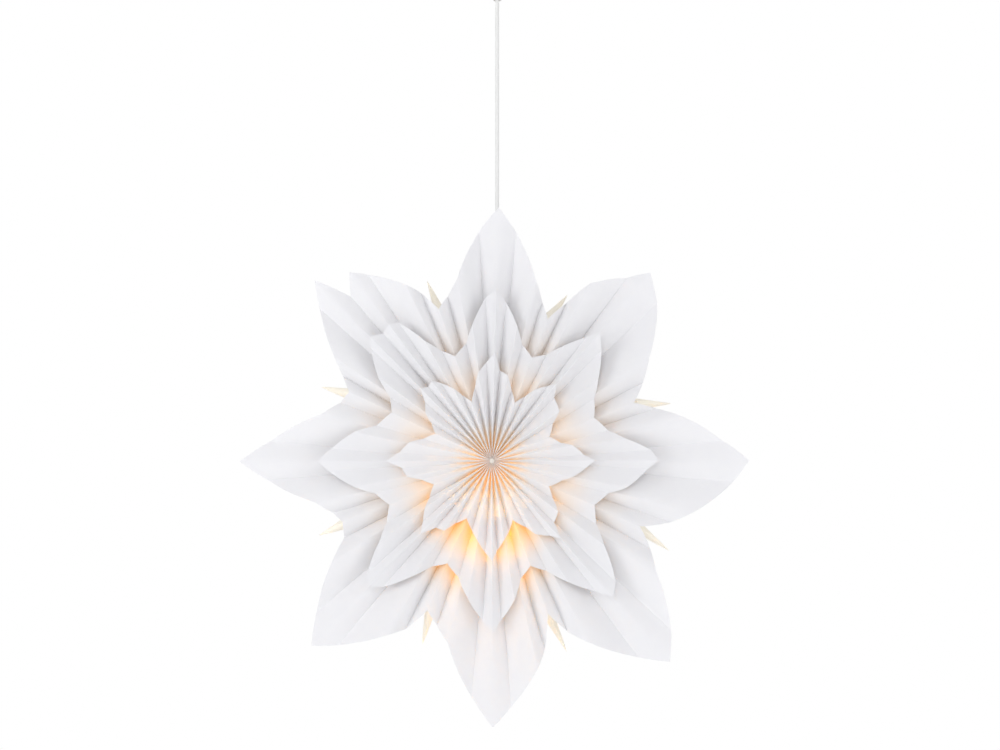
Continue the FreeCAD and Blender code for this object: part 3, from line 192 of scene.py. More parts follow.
# The paper carries a painted warm tint and a painted glow near the bulb.
PAPER = paper_material("white_book_paper_painted_glow", ("#fafafb", "#f6f6f9"), "#fbfafa", 0.26, with_painted_glow=True)
# The leaves give off a faint painted glow of their own, no lamp, in place of the bulb's light through their
# sheets.
LEAF_PAPER = paper_material("cream_leaf_paper_painted_glow", ("#fefdf8", "#fbf9f2"), "#fdf5e2", 0.25,
                            glow=("#fff3de", 0.09))
print("paper materials made")

# %% [markdown]
# ## Where the folds lie
# The tips and notches of all three rings lie at the same turns, one over the other. Between a tip and a notch
# there are always the same folds: a valley, a ridge, a valley. Ridges and valleys take turns all the way
# round. At the upper left the sheet's two ends are glued, and there the point has a second tip. The large
# ring's edge is given fold by fold. The edges of the two smaller ones are shares of the way from notch to
# tip, with some chance in them, because they are cut by hand.

# %% Fold list
# In degrees and millimetres: turn of the tip, its reach, how far out the edge cuts the three folds before it
# and the three after it, and the turn and reach of the notch that follows.
POINTS = (
    (1.5, 348, (233, 253, 316), (316, 253, 228), 21.4, 208),
    (40.0, 337, (240, 277, 312), (314, 255, 232), 67.8, 208),
    (89.7, 350, (235, 266, 315), (329, 282, 256), 113.6, 218),
    (138.3, 362, (245, 267, 333), (331, 279, 252), 160.0, 219),
    (179.8, 359, (264, 287, 333), (319, 251, 233), 203.0, 219),
    (224.4, 348, (255, 275, 324), (314, 254, 225), 247.5, 218),
    (270.0, 343, (226, 244, 307), (302, 240, 221), 296.0, 215),
    (315.6, 346, (234, 256, 315), (307, 268, 249), 341.0, 219),
)
# How much of their depth the folds of each point keep. The points at the left and right are pulled wide, so
# their folds lie flatter.
PRESS = (1.0, 0.85, 0.45, 0.75, 1.0, 0.9, 0.45, 0.75)
SEAM_POINT = 7
SEAM_TURN = 3.7  # degrees from the first tip to the seam's valley, and from there to the second tip
SEAM_VALLEY, SEAM_SECOND = 297 / 346, 324 / 346  # reach of that valley and that tip beside the first tip's
FOLD_VALUES = ("turn", "cut", "crest", "tip", "sink")


def fold_list(tier, chance):
    """Every fold of a ring, clockwise, with what FOLD_VALUES names: its turn, where the edge cuts it, +1 for
    a ridge or -1 for a valley, 1 for a tip, and how deep it sinks."""
    folds = []

    def note(turn, outer, crest, tip=0, sink=1.0):
        stray = 0 if tip else tier["stray"]
        folds.append((math.radians(turn + chance.uniform(-stray, stray)), outer * MM, crest, tip,
                      sink * chance.uniform(0.9, 1.1)))

    before, notch = POINTS[-1][4] - 360, POINTS[-1][5]
    for number, (tip_turn, reach, inner, outer, after, notch_after) in enumerate(POINTS):
        if tier["reach"]:
            reach, notch, notch_after = tier["reach"][number], tier["notch"], tier["notch"]
            least, most = 1 - tier["loose"], 1 + tier["loose"]
            span = reach - notch
            inner, outer = ([notch + span * share * chance.uniform(least, most) for share in shares]
                            for shares in (tier["edge"][::-1], tier["edge"]))
        flatter = 1 - (1 - PRESS[number]) * tier["press"]
        note(before, notch, 1)
        for way, crest, sink, cut in zip(tier["ways"][::-1], (-1, 1, -1), tier["sink"][::-1], inner):
            note(tip_turn - (tip_turn - before) * way, cut, crest, sink=sink * flatter)
        note(tip_turn, reach, 1, tip=1)
        last = tip_turn
        if number == SEAM_POINT:
            last = tip_turn + 2 * SEAM_TURN
            note(tip_turn + SEAM_TURN, reach * (1 - (1 - SEAM_VALLEY) * tier["seam"]), -1, sink=0.8)
            note(last, reach * (1 - (1 - SEAM_SECOND) * tier["seam"]), 1, tip=1)
        for way, crest, sink, cut in zip(tier["ways"], (-1, 1, -1), tier["sink"], outer):
            note(last + (after - last) * way, cut, crest, sink=sink * flatter)
        before, notch = after, notch_after
    return folds


FOLD_COUNT = len(POINTS) * 8 + 2  # eight to a point, and two more at the seam
FOLD_STEP = 2 * math.pi / FOLD_COUNT
STAR_MIDDLE = Vector((-7 * MM, 0, -730 * MM))
PAINTED_GLOW_CENTRE = (-10 * MM, 0, -88 * MM)  # centre of the painted glow, where the bulb would shine through most, seen from the star's middle
print(FOLD_COUNT, "folds")

# %% [markdown]
# ## Folding the paper with Geometry Nodes
# A pleated ring follows a rule, so it isn't drawn by hand. A facet keeps its width wherever it is: close to
# the hub its two folds lie side by side and the pleat is deep, and far out they stand apart and the pleat is
# shallow. That is Pythagoras: the depth is the root of the facet's width squared less the step squared. The
# node tree takes one point for each fold, lays a grid between them and lifts it by that rule. Its inputs
# say how wide a facet is, where the ring lies, how round its folds are, how much it is crumpled, and where
# a painted glow stands in for the bulb's light through the paper: from under the edge of the ring before it,
# and most of all in the valleys. That share is stored on the mesh for the paper's painted warm tint and glow.


# %% The folding tree
FLOAT_INPUTS = ("Facet", "Middle", "Rise", "Reach", "Bore", "Roundness", "Hub roundness", "Tip flatness",
                "Flattest", "Painted glow inside", "Painted glow outside", "Painted glow in valleys", "Painted glow all round", "Crumple",
                "Side", "Seed")
INPUTS = ([(name, "Float") for name in FLOAT_INPUTS]
          + [("Folds", "Int"), ("Columns", "Int"), ("Rows", "Int"), ("Paper", "Material")])
HUB_START, HUB_END = 3 * MM, 30 * MM  # between these radii the hub's roundness gives way to the ring's
PAINTED_GLOW_NEAR, PAINTED_GLOW_FAR = 40 * MM, 120 * MM  # distances from the painted glow's centre where it is strongest and where it is least
CRUMPLE_SIZE = 45 * MM
WELD = 0.004 * MM


def folding_tree():
    """Makes the node tree that folds one ring. Its input geometry has one vertex for each fold."""
    tree = bpy.data.node_groups.new("fold_a_ring", "GeometryNodeTree")
    face = tree.interface
    face.new_socket("Geometry", in_out="INPUT", socket_type="NodeSocketGeometry")
    for name, kind in INPUTS:
        face.new_socket(name, in_out="INPUT", socket_type="NodeSocket" + kind)
    face.new_socket("Geometry", in_out="OUTPUT", socket_type="NodeSocketGeometry")
    source = tree.nodes.new("NodeGroupInput").outputs

    def math_node(what, *values):
        return add(tree, "ShaderNodeMath", dict(enumerate(values)), operation=what).outputs[0]

    def whole(what, *values):
        return add(tree, "FunctionNodeIntegerMath", dict(enumerate(values)), operation=what).outputs[0]

    across = whole("ADD", whole("MULTIPLY", source["Folds"], source["Columns"]), 1)
    grid = add(tree, "GeometryNodeMeshGrid", {"Vertices X": across, "Vertices Y": source["Rows"]})
    index = add(tree, "GeometryNodeInputIndex").outputs[0]
    column = whole("DIVIDE_FLOOR", index, source["Rows"])
    row = whole("MODULO", index, source["Rows"])
    fold = whole("DIVIDE_FLOOR", column, source["Columns"])
    share = math_node("DIVIDE", whole("MODULO", column, source["Columns"]), source["Columns"])
    along = math_node("DIVIDE", row, math_node("SUBTRACT", source["Rows"], 1.0))

    def at_fold(attribute, number):
        field = add(tree, "GeometryNodeInputNamedAttribute", {"Name": attribute}, data_type="FLOAT")
        sample = add(tree, "GeometryNodeSampleIndex", {"Geometry": source["Geometry"], "Value": field,
                                                       "Index": number}, data_type="FLOAT", clamp=True)
        return sample.outputs[0]

    following = whole("ADD", fold, 1)
    values = {}
    for attribute in FOLD_VALUES:
        here, there = at_fold(attribute, fold), at_fold(attribute, following)
        mixed = add(tree, "ShaderNodeMix", {0: share, 2: here, 3: there}, data_type="FLOAT").outputs[0]
        values[attribute] = (here, there, mixed)
    turn = values["turn"][2]
    cut = values["cut"][2]
    tip = math_node("MAXIMUM", values["tip"][0], values["tip"][1])
    from_valley = math_node("MULTIPLY_ADD", values["crest"][2], 0.5, 0.5)
    from_ridge = math_node("SUBTRACT", 1.0, from_valley)
    radius = math_node("MULTIPLY_ADD", math_node("SUBTRACT", cut, source["Bore"]), along, source["Bore"])
    step = math_node("MULTIPLY", radius, FOLD_STEP)
    full = math_node("MULTIPLY", source["Facet"], source["Facet"])
    left = math_node("MAXIMUM", math_node("SUBTRACT", full, math_node("MULTIPLY", step, step)),
                     math_node("MULTIPLY", full, math_node("POWER", source["Flattest"], 2.0)))
    depth = math_node("SQRT", left)
    sink = math_node("MINIMUM", values["sink"][0], values["sink"][1])
    roundness = add(tree, "ShaderNodeMapRange", {"Value": radius, "From Min": HUB_START, "From Max": HUB_END,
                                                 "To Min": source["Hub roundness"],
                                                 "To Max": source["Roundness"]},
                    interpolation_type="SMOOTHSTEP").outputs[0]
    bulge = math_node("POWER", from_ridge, roundness)
    reached = math_node("DIVIDE", radius, cut)
    flat = math_node("MULTIPLY", math_node("MULTIPLY", tip, source["Tip flatness"]), reached)
    sunk = math_node("MULTIPLY", math_node("MULTIPLY", sink, 2.0), bulge)
    pressed = math_node("MULTIPLY", flat, math_node("SUBTRACT", 1.0, bulge))
    lift = math_node("SUBTRACT", math_node("SUBTRACT", 1.0, sunk), pressed)
    folded = math_node("MULTIPLY", math_node("MULTIPLY", depth, 0.5), lift)
    risen = math_node("MULTIPLY_ADD", source["Rise"], math_node("DIVIDE", radius, source["Reach"]),
                      source["Middle"])
    height = math_node("ADD", folded, risen)
    spot = add(tree, "ShaderNodeCombineXYZ", {0: math_node("MULTIPLY", radius, math_node("SINE", turn)),
                                              1: math_node("MULTIPLY", height, source["Side"]),
                                              2: math_node("MULTIPLY", radius, math_node("COSINE", turn))})
    flat_spot = add(tree, "ShaderNodeVectorMath", {0: spot, 1: (1, 0, 1)}, operation="MULTIPLY")
    # Painted light: a share that is strongest near the bulb, inside a band of radius and in the valleys,
    # stored as an attribute for the paper's painted warm tint and glow.
    to_bulb = add(tree, "ShaderNodeVectorMath", {0: flat_spot, 1: PAINTED_GLOW_CENTRE},
                  operation="DISTANCE").outputs["Value"]
    painted_glow_by_bulb = add(tree, "ShaderNodeMapRange", {"Value": to_bulb, "From Min": PAINTED_GLOW_FAR,
                                                 "From Max": PAINTED_GLOW_NEAR,
                                                 "To Min": source["Painted glow all round"], "To Max": 1.0},
                    interpolation_type="SMOOTHSTEP").outputs[0]
    painted_glow_by_radius = add(tree, "ShaderNodeMapRange", {"Value": radius, "From Min": source["Painted glow outside"],
                                                 "From Max": source["Painted glow inside"]},
                    interpolation_type="SMOOTHSTEP").outputs[0]
    painted_glow_in_valley = add(tree, "ShaderNodeMix", {0: source["Painted glow in valleys"], 2: 1.0, 3: bulge},
                    data_type="FLOAT").outputs[0]
    painted_glow_share = math_node("MULTIPLY", math_node("MULTIPLY", painted_glow_by_bulb, painted_glow_by_radius), painted_glow_in_valley)
    noise = add(tree, "ShaderNodeTexNoise", {"Vector": spot, "W": source["Seed"], "Scale": 1 / CRUMPLE_SIZE,
                                             "Detail": 1.5}, noise_dimensions="4D")
    centred = add(tree, "ShaderNodeVectorMath", {0: noise.outputs["Color"], 1: (0.5, 0.5, 0.5)},
                  operation="SUBTRACT")
    strength = math_node("MULTIPLY", source["Crumple"], math_node("MULTIPLY", reached, 2.0))
    crumple = add(tree, "ShaderNodeVectorMath", {0: centred, "Scale": strength}, operation="SCALE")
    moved = add(tree, "ShaderNodeVectorMath", {0: spot, 1: crumple}, operation="ADD")
    placed = add(tree, "ShaderNodeVectorMath", {0: moved, 1: STAR_MIDDLE}, operation="ADD")
    with_painted_glow = add(tree, "GeometryNodeStoreNamedAttribute", {"Geometry": grid.outputs["Mesh"], "Name": "painted_glow_share",
                                                           "Value": painted_glow_share}, data_type="FLOAT", domain="POINT")
    laid = add(tree, "GeometryNodeSetPosition", {"Geometry": with_painted_glow, "Position": placed})
    joined = add(tree, "GeometryNodeMergeByDistance", {"Geometry": laid, "Distance": WELD})
    painted = add(tree, "GeometryNodeSetMaterial", {"Geometry": joined, "Material": source["Paper"]})
    add(tree, "NodeGroupOutput", {"Geometry": painted})
    return tree


FOLDING = folding_tree()
print("folding tree with", len(FOLDING.nodes), "nodes")

# %% [markdown]
# ## The six rings
# Each ring gets its own list of folds as a row of vertices. The last vertex repeats the first one a full
# turn on, and the tree welds the grid's two ends there. Afterwards the plain mesh gets its paper thickness.


# %% Fold one ring
SHEET = 0.2 * MM  # thickness of the paper
CREASE = math.radians(22)  # folds sharper than this show as edges
FLATTEST = 0.3  # least depth of a pleat, as a share of its facet
RISE_REACH = 0.23  # radius where a ring has come forward by its whole rise


def plain_mesh(carrier, name):
    """The evaluated result of an object's modifiers as a plain mesh, with the modifiers gone."""
    graph = bpy.context.evaluated_depsgraph_get()
    graph.update()
    mesh = bpy.data.meshes.new_from_object(carrier.evaluated_get(graph))
    mesh.name = name
    return mesh


def smooth(mesh, crease):
    """Smooth shading, apart from edges that bend more than this angle."""
    mesh.polygons.foreach_set("use_smooth", [True] * len(mesh.polygons))
    mesh.set_sharp_from_angle(angle=crease)


def give_thickness(piece, thickness):
    """Turns a sheet into a closed body of that thickness and marks its creases sharp."""
    modifier = piece.modifiers.new("thickness", "SOLIDIFY")
    modifier.thickness = thickness
    modifier.offset = 0
    mesh = plain_mesh(piece, piece.name)
    piece.modifiers.clear()
    piece.data = mesh
    smooth(mesh, CREASE)


def set_input(modifier, name, value):
    """A node modifier's input is set by the identifier of its socket."""
    for item in modifier.node_group.interface.items_tree:
        if item.item_type == "SOCKET" and item.in_out == "INPUT" and item.name == name:
            modifier[item.identifier] = value


def fold_ring(name, tier, side):
    """One ring of pleated paper; side is -1 for the front half and +1 for the back half."""
    lines = fold_list(tier, random.Random(tier["seed"]))
    lines.append((lines[0][0] + 2 * math.pi,) + lines[0][1:])
    mesh = bpy.data.meshes.new(name)
    mesh.from_pydata([(i * MM, 0, 0) for i in range(len(lines))], [], [])
    for place, attribute in enumerate(FOLD_VALUES):
        layer = mesh.attributes.new(attribute, "FLOAT", "POINT")
        layer.data.foreach_set("value", [float(line[place]) for line in lines])
    ring = put(name, mesh)
    modifier = ring.modifiers.new("fold", "NODES")
    modifier.node_group = FOLDING
    # These four numbers place the painted glow that stands in for the bulb's light.
    painted_glow_inside, painted_glow_outside, painted_glow_in_valleys, painted_glow_all_round = tier["glow"]
    for key, value in (("Facet", tier["facet"] * MM), ("Middle", tier["middle"] * MM),
                       ("Rise", tier["rise"] * MM), ("Reach", RISE_REACH), ("Bore", tier["bore"] * MM),
                       ("Roundness", tier["round"]), ("Hub roundness", tier["hub"]),
                       ("Tip flatness", tier["flat"]), ("Flattest", FLATTEST),
                       ("Painted glow inside", painted_glow_inside * MM), ("Painted glow outside", painted_glow_outside * MM),
                       ("Painted glow in valleys", painted_glow_in_valleys), ("Painted glow all round", painted_glow_all_round),
                       ("Crumple", tier["crumple"] * MM), ("Side", side),
                       ("Seed", float(tier["seed"]) + side), ("Folds", FOLD_COUNT),
                       ("Columns", tier["columns"]), ("Rows", tier["rows"]), ("Paper", PAPER)):
        set_input(modifier, key, value)
    folded = plain_mesh(ring, name)
    ring.modifiers.clear()
    ring.data = folded
    if side > 0:
        folded.flip_normals()
    give_thickness(ring, SHEET)
    ring.data.materials.clear()
    ring.data.materials.append(PAPER)
    return ring


# %% All six rings
# Lengths are in millimetres. facet is a facet's width. middle is how far the pleats lie before the star's
# middle plane, and rise how much further they come forward at the tips. reach, notch, edge and loose give the
# edge where POINTS doesn't. bore is the hole, hidden behind the next ring, and seam how deep the seam cuts
# in. ways and stray say where the folds between tip and notch lie, sink how deep they are and press how far
# PRESS flattens them. round, hub and flat shape the ridges, and crumple is how far the sheet strays. glow
# places the painted glow that stands in for the bulb's light: the radius where it is strongest, the radius
# where it ends, how far it keeps to the valleys, and how much of it there is on the side away from the bulb.
TIERS = {
    "large": dict(facet=36, middle=48, rise=0, reach=None, bore=130, seam=1,
                  ways=(0.21, 0.60, 0.80), stray=0.4, sink=(0.85, 1.0, 0.55), press=0.3,
                  round=1.7, hub=1.7, flat=0.9, crumple=1.2, glow=(150, 205, 0.3, 0.1),
                  seed=3, columns=6, rows=30),
    "medium": dict(facet=25, middle=61.5, rise=4.5, reach=(232, 228, 225, 245, 232, 236, 235, 236), notch=150,
                   edge=(0.83, 0.44, 0.16), loose=0.08, bore=78, seam=0.25,
                   ways=(0.15, 0.45, 0.68), stray=0.6, sink=(0.75, 1.0, 0.6), press=0.8,
                   round=1.2, hub=1.5, flat=0.3, crumple=0.9, glow=(86, 148, 0.35, 0.28),
                   seed=11, columns=6, rows=24),
    "small": dict(facet=17, middle=73.5, rise=3.5, reach=(146, 136, 139, 139, 134, 136, 142, 137), notch=84,
                  edge=(0.72, 0.52, 0.26), loose=0.15, bore=4.0, seam=0.25,
                  ways=(0.18, 0.47, 0.68), stray=0.9, sink=(0.85, 1.0, 0.8), press=1.0,
                  round=1.1, hub=2.4, flat=0.2, crumple=0.5, glow=(10, 64, 1.0, 0.6),
                  seed=23, columns=6, rows=30),
}
for half, side in (("front", -1.0), ("back", 1.0)):
    for tier_name, tier in TIERS.items():
        ring = fold_ring("%s_ring_%s" % (tier_name, half), tier, side)
        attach(ring, "pendant")
        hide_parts("%s_%s_rosette" % (half, tier_name))
        print(ring.name, len(ring.data.polygons), "faces")

# %% [markdown]
# ## Hub plugs
# The rings are glued round a stepped plug of rolled card. Its end is all but hidden by the small ring, whose
# folds meet in a point.


# %% Hub plugs
def loft_faces(rows, around):
    """The faces between neighbouring rows, each of which is a closed ring of that many points."""
    faces = []
    for j in range(rows - 1):
        for k in range(around):
            n = (k + 1) % around
            faces.append((j * around + k, j * around + n, (j + 1) * around + n, (j + 1) * around + k))
    return faces


def turned_body(name, profile, around, side):
    """A closed body turned round the hub's line from (radius, height) pairs, with that many points around;
    side is -1 for the front half and +1 for the back half."""
    verts = []
    for radius, height in profile:
        for k in range(around):
            a = 2 * math.pi * k / around
            spot = Vector((radius * math.sin(a), side * height, radius * math.cos(a)))
            verts.append(STAR_MIDDLE + spot * MM)
    faces = loft_faces(len(profile), around)
    faces.append(tuple(range(around)))
    faces.append(tuple(range(len(verts) - around, len(verts))))
    mesh = bpy.data.meshes.new(name)
    mesh.from_pydata(verts, [], faces)
    piece = put(name, mesh)
    outward(mesh)
    return piece


def outward(mesh):
    """Recalculates the normals of a closed mesh so that its faces point out."""
    work = bmesh.new()
    work.from_mesh(mesh)
    bmesh.ops.remove_doubles(work, verts=work.verts, dist=0.002 * MM)
    bmesh.ops.recalc_face_normals(work, faces=work.faces)
    work.to_mesh(mesh)
    work.free()


# Radius and distance from the middle plane, in millimetres, from the inner end to the knot in the middle.
PLUG = ((13.7, 27), (13.7, 60.5), (3.9, 60.5), (3.9, 80.2), (2.8, 81.2))
CARD = paper_material("rolled_card", ("#f4efe8", "#ebe5db"), "#f0dcc0", 0.1)
for half, side in (("front", -1), ("back", 1)):
    plug = turned_body("hub_plug_%s" % half, PLUG, 40, side)
    plug.data.materials.append(CARD)
    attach(plug, "pendant")
    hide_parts("%s_hub_core" % half)
print("hub plugs made")

# %% [markdown]
# ## Leaves between the halves
# Behind each notch stands a folded leaf of cream paper. Its two sheets are glued in the inner part and part
# further out, where they puff up and meet again in a narrow pointed spike that shows in the notch. Each one
# is a loft: rows along the leaf, each row a closed ring of points.

# %% Leaves
# The turn and reach of each leaf's outer end, from the notch after the top point on.
LEAF_TIPS = ((24.2, 254), (71.7, 260), (116.4, 272), (158.4, 279), (201.0, 267), (247.2, 258), (293.9, 258),
             (340.3, 267))
LEAF_INNER = 76
LEAF_HALF = 0.25  # half the thickness of two glued sheets
LEAF_SEAT = 1.6  # the leaf's edge under the fold, square to the middle plane
PUFF_START, PUFF_MIDDLE, PUFF_WIDE, PUFF_HIGH = 190, 214, 8.0, 44
SPIKE_HALF, SPIKE_HIGH = 0.3, 3  # least half width and half height of the outer end
ACROSS = 12  # points across each sheet
LEAF_CREASE = math.radians(40)


def leaf_height(radius):
    """Half the height of the leaf's glued part, just under the notch fold of the large ring."""
    facet, middle = TIERS["large"]["facet"], TIERS["large"]["middle"]
    step = FOLD_STEP * radius
    depth = math.sqrt(facet ** 2 - step ** 2)
    return middle + depth / 2 - SHEET / 2 / MM * facet / step - LEAF_HALF * depth / step - LEAF_SEAT


def leaf_rows(notch, tip_turn, tip_reach):
    """Rows along a leaf: (radius, half width, half height, sideways shift)."""
    rows = []
    for k in range(9):
        radius = LEAF_INNER + (PUFF_START - LEAF_INNER) * k / 8
        rows.append((radius, LEAF_HALF, leaf_height(radius), 0))
    for k in range(1, 5):
        t = k / 4
        radius = PUFF_START + (PUFF_MIDDLE - PUFF_START) * t
        wide = LEAF_HALF + (PUFF_WIDE - LEAF_HALF) * math.sin(t * math.pi / 2)
        rows.append((radius, wide, PUFF_HIGH, 0))
    aside = tip_reach * math.sin(math.radians(tip_turn - notch))
    end = tip_reach * math.cos(math.radians(tip_turn - notch))
    for k in range(1, 11):
        t = k / 10
        radius = PUFF_MIDDLE + (end - PUFF_MIDDLE) * t
        wide = max(PUFF_WIDE * (1 - t) ** 0.8, SPIKE_HALF)
        rows.append((radius, wide, SPIKE_HIGH + (PUFF_HIGH - SPIKE_HIGH) * (1 - t) ** 2.2, aside * t))
    return rows


def make_leaf(number, notch, tip_turn, tip_reach):
    """One leaf as a closed loft of flattened rings."""
    a = math.radians(notch)
    out = Vector((math.sin(a), 0, math.cos(a)))
    aside_way = Vector((math.cos(a), 0, -math.sin(a)))
    verts = []
    rows = leaf_rows(notch, tip_turn, tip_reach)
    for radius, wide, high, aside in rows:
        middle = STAR_MIDDLE + (out * radius + aside_way * aside) * MM
        for k in range(2 * ACROSS):
            s = -1 + 2 * (k % ACROSS) / (ACROSS - 1)
            way = 1 if k < ACROSS else -1
            full = (1 - abs(s) ** 4) * 0.75 + 0.25
            verts.append(middle + aside_way * (way * wide * full * MM) + Vector((0, way * s * high * MM, 0)))
    around = 2 * ACROSS
    faces = loft_faces(len(rows), around)
    for start in (0, (len(rows) - 1) * around):
        end = start + around - 1
        for k in range(ACROSS - 1):
            faces.append((start + k, start + k + 1, end - 1 - k, end - k))
    mesh = bpy.data.meshes.new("leaf_%d" % number)
    mesh.from_pydata(verts, [], faces)
    outward(mesh)
    smooth(mesh, LEAF_CREASE)
    leaf = put("leaf_%d" % number, mesh)
    leaf.data.materials.append(LEAF_PAPER)
    return leaf


for number, (point, (tip_turn, tip_reach)) in enumerate(zip(POINTS, LEAF_TIPS), 1):
    leaf = make_leaf(number, point[4], tip_turn, tip_reach)
    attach(leaf, "pendant")
    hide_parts("divider_leaf_%d" % number)
print("leaves made")

# %% [markdown]
# ## Materials for what stays from the CAD
# Plastic, metal, ceramic and glass differ in how they shine, so each gets its own surface: a colour, a
# roughness that changes a little from place to place, and a bump at the scale of how it was made.


# %% Hard materials
WEAR, GRAIN_DEPTH = 14 * MM, 0.1 * MM  # size of the changes in tone, and depth of the grain


def hard_material(name, base, second, rough, grain, metallic=0.0, glow=None):
    """A solid surface: two close tones, a roughness range and a grain of that size in millimetres."""
    material = bpy.data.materials.new(name)
    material.use_nodes = True
    tree = material.node_tree
    tree.nodes.clear()
    place = add(tree, "ShaderNodeTexCoord").outputs["Object"]
    grains = add(tree, "ShaderNodeTexNoise", {"Vector": place, "Scale": 1 / (grain * MM), "Detail": 4.0})
    wear = add(tree, "ShaderNodeTexNoise", {"Vector": place, "Scale": 1 / WEAR, "Detail": 3.0})
    tone = add(tree, "ShaderNodeMix", {0: wear.outputs["Fac"], 6: linear(base), 7: linear(second)},
               data_type="RGBA")
    shine = add(tree, "ShaderNodeMapRange", {"Value": grains.outputs["Fac"], "To Min": rough[0],
                                             "To Max": rough[1]})
    relief = add(tree, "ShaderNodeBump", {"Height": grains.outputs["Fac"], "Strength": 0.15,
                                          "Distance": GRAIN_DEPTH})
    body = add(tree, "ShaderNodeBsdfPrincipled", {"Base Color": tone.outputs[2],
                                                  "Roughness": shine.outputs[0],
                                                  "Metallic": metallic, "Normal": relief})
    if glow:
        body.inputs["Emission Color"].default_value = linear(glow[0])
        body.inputs["Emission Strength"].default_value = glow[1]
    add(tree, "ShaderNodeOutputMaterial", {"Surface": body})
    return material


WHITE_PLASTIC = hard_material("moulded_white_plastic", "#ecebe6", "#e4e2db", (0.32, 0.46), 0.35)
FLEX_SHEATH = hard_material("white_pvc_sheath", "#eeeeec", "#e6e6e4", (0.38, 0.55), 0.6)
ZINC = hard_material("zinc_plated_steel", "#c6c8cb", "#b4b7bb", (0.22, 0.42), 0.4, metallic=1.0)
SPRING = hard_material("drawn_spring_steel", "#b9bbbe", "#a3a5a8", (0.2, 0.35), 0.2, metallic=1.0)
BRASS = hard_material("turned_brass", "#d9b46a", "#c79f55", (0.2, 0.36), 0.3, metallic=1.0)
NICKEL = hard_material("nickel_plated_brass", "#cfccc4", "#bdb9b0", (0.14, 0.3), 0.3, metallic=1.0)
CERAMIC = hard_material("glazed_steatite", "#efece2", "#e4dfd2", (0.12, 0.25), 0.8)
BLACK_GLASS = hard_material("black_glass_insulator", "#17171a", "#101013", (0.08, 0.2), 0.8)
BROWN_WIRE = hard_material("brown_pvc_insulation", "#5a3a26", "#4b2f1e", (0.35, 0.5), 0.5)
BLUE_WIRE = hard_material("blue_pvc_insulation", "#2f5f9e", "#285288", (0.35, 0.5), 0.5)
OPAL = hard_material("lit_opal_glass", "#f4e6cc", "#efdcbb", (0.1, 0.2), 1.0, glow=("#ffbc38", 26.0))
CLEAR = hard_material("clear_stem_glass", "#dfe6e6", "#d4dddd", (0.05, 0.1), 1.0)
PHOSPHOR = hard_material("glowing_phosphor", "#ffcf7a", "#ffc262", (0.4, 0.6), 0.3, glow=("#ffbe66", 60.0))

FINISHES = {
    ZINC: "ceiling_bracket cup_screws grip_clamp_screw terminal_screws stop_screw holder_clamp_screw",
    WHITE_PLASTIC: "ceiling_cup cord_grip grip_nut clamp_sleeve bend_relief cord_stop holder_cap holder_body"
                   " terminal_block",
    FLEX_SHEATH: "cord_tail",
    BROWN_WIRE: "live_wire",
    BLUE_WIRE: "neutral_wire",
    SPRING: "hanger_wire",
    BRASS: "hanger_eyelets threaded_shell middle_contact",
    CERAMIC: "contact_seat",
    NICKEL: "bulb_cap",
    BLACK_GLASS: "bulb_tip",
    OPAL: "bulb_glass",
    CLEAR: "bulb_stem",
    PHOSPHOR: "bulb_rods",
}
for material, names in FINISHES.items():
    for name in names.split():
        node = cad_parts[name]
        for place in node.material_slots:
            place.material = material
        if not node.material_slots:
            node.data.materials.append(material)
flex.data.materials.append(FLEX_SHEATH)
print("materials given to", sum(len(names.split()) for names in FINISHES.values()), "nodes")

# %% [markdown]
# ## Studio
# The star hangs in a plain white studio. A pale floor lies far below it. Soft boxes stand at the left and
# right and pick out every upright fold, with one more before the star and one behind it. The world fills in
# evenly and is plain white to the camera.

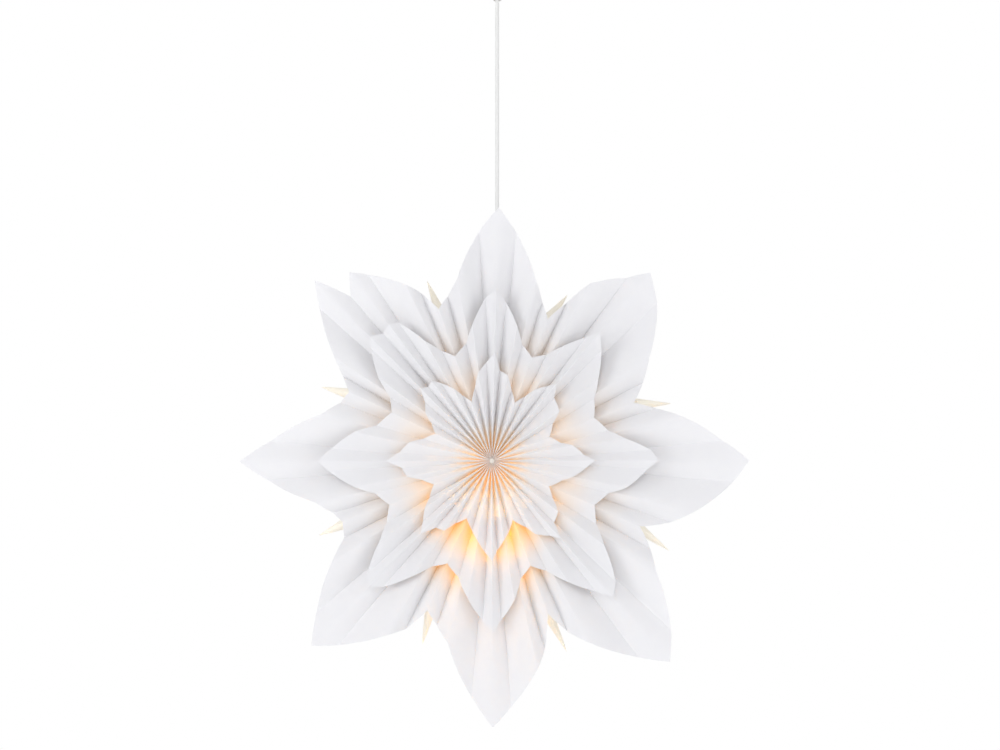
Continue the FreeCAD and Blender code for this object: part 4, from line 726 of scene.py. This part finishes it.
# %% Floor
FLOOR_HEIGHT, FLOOR_RADIUS, FLOOR_SIDES = -2.4, 6.0, 96
floor_mesh = bpy.data.meshes.new("studio_floor")
turns = [2 * math.pi * k / FLOOR_SIDES for k in range(FLOOR_SIDES)]
rim = [(FLOOR_RADIUS * math.cos(turn), FLOOR_RADIUS * math.sin(turn), FLOOR_HEIGHT) for turn in turns]
floor_mesh.from_pydata(rim, [], [tuple(range(FLOOR_SIDES))])
floor = put("studio_floor", floor_mesh)
floor.data.materials.append(hard_material("matt_white_floor", "#f4f4f4", "#f1f1f0", (0.7, 0.9), 4.0,
                                          glow=("#ffffff", 0.26)))
print("floor at %.1f m" % FLOOR_HEIGHT)

# %% Soft boxes
LIT_SPOT = Vector((0, 0, -0.72))
# Name, place and width in metres, power in watts.
SOFT_BOXES = (
    ("left_box", (-2.9, -1.9, -0.5), 1.4, 30),
    ("right_box", (2.9, -1.8, -0.5), 1.4, 20),
    ("front_box", (-0.45, -3.4, 0.15), 1.2, 22),
    ("back_box", (0.5, 3.4, 0.15), 1.2, 14),
)
for name, place, size, power in SOFT_BOXES:
    lamp = bpy.data.lights.new(name, "AREA")
    lamp.shape = "RECTANGLE"
    lamp.size, lamp.size_y = size, size * 1.4
    lamp.energy = power
    box = put(name, lamp)
    box.location = place
    box.rotation_euler = (LIT_SPOT - box.location).to_track_quat("-Z", "Y").to_euler()
print(len(SOFT_BOXES), "soft boxes")

# %% World
world = bpy.data.worlds.new("white_studio")
bpy.context.scene.world = world
world.use_nodes = True
sky = world.node_tree
sky.nodes.clear()
rays = add(sky, "ShaderNodeLightPath").outputs
seen = add(sky, "ShaderNodeMath", {0: rays["Is Camera Ray"], 1: rays["Is Glossy Ray"]}, operation="MAXIMUM")
seen = add(sky, "ShaderNodeMath", {0: seen, 1: rays["Is Transmission Ray"]}, operation="MAXIMUM")
fill = add(sky, "ShaderNodeBackground", {"Color": linear("#f4f5f9"), "Strength": 0.57})
white = add(sky, "ShaderNodeBackground", {"Color": (1, 1, 1, 1), "Strength": 1.0})
both = add(sky, "ShaderNodeMixShader", {0: seen, 1: fill, 2: white})
add(sky, "ShaderNodeOutputWorld", {"Surface": both})
bpy.context.scene.view_settings.view_transform = "Standard"
print("white world")

# %% Finish
bpy.context.view_layer.update()
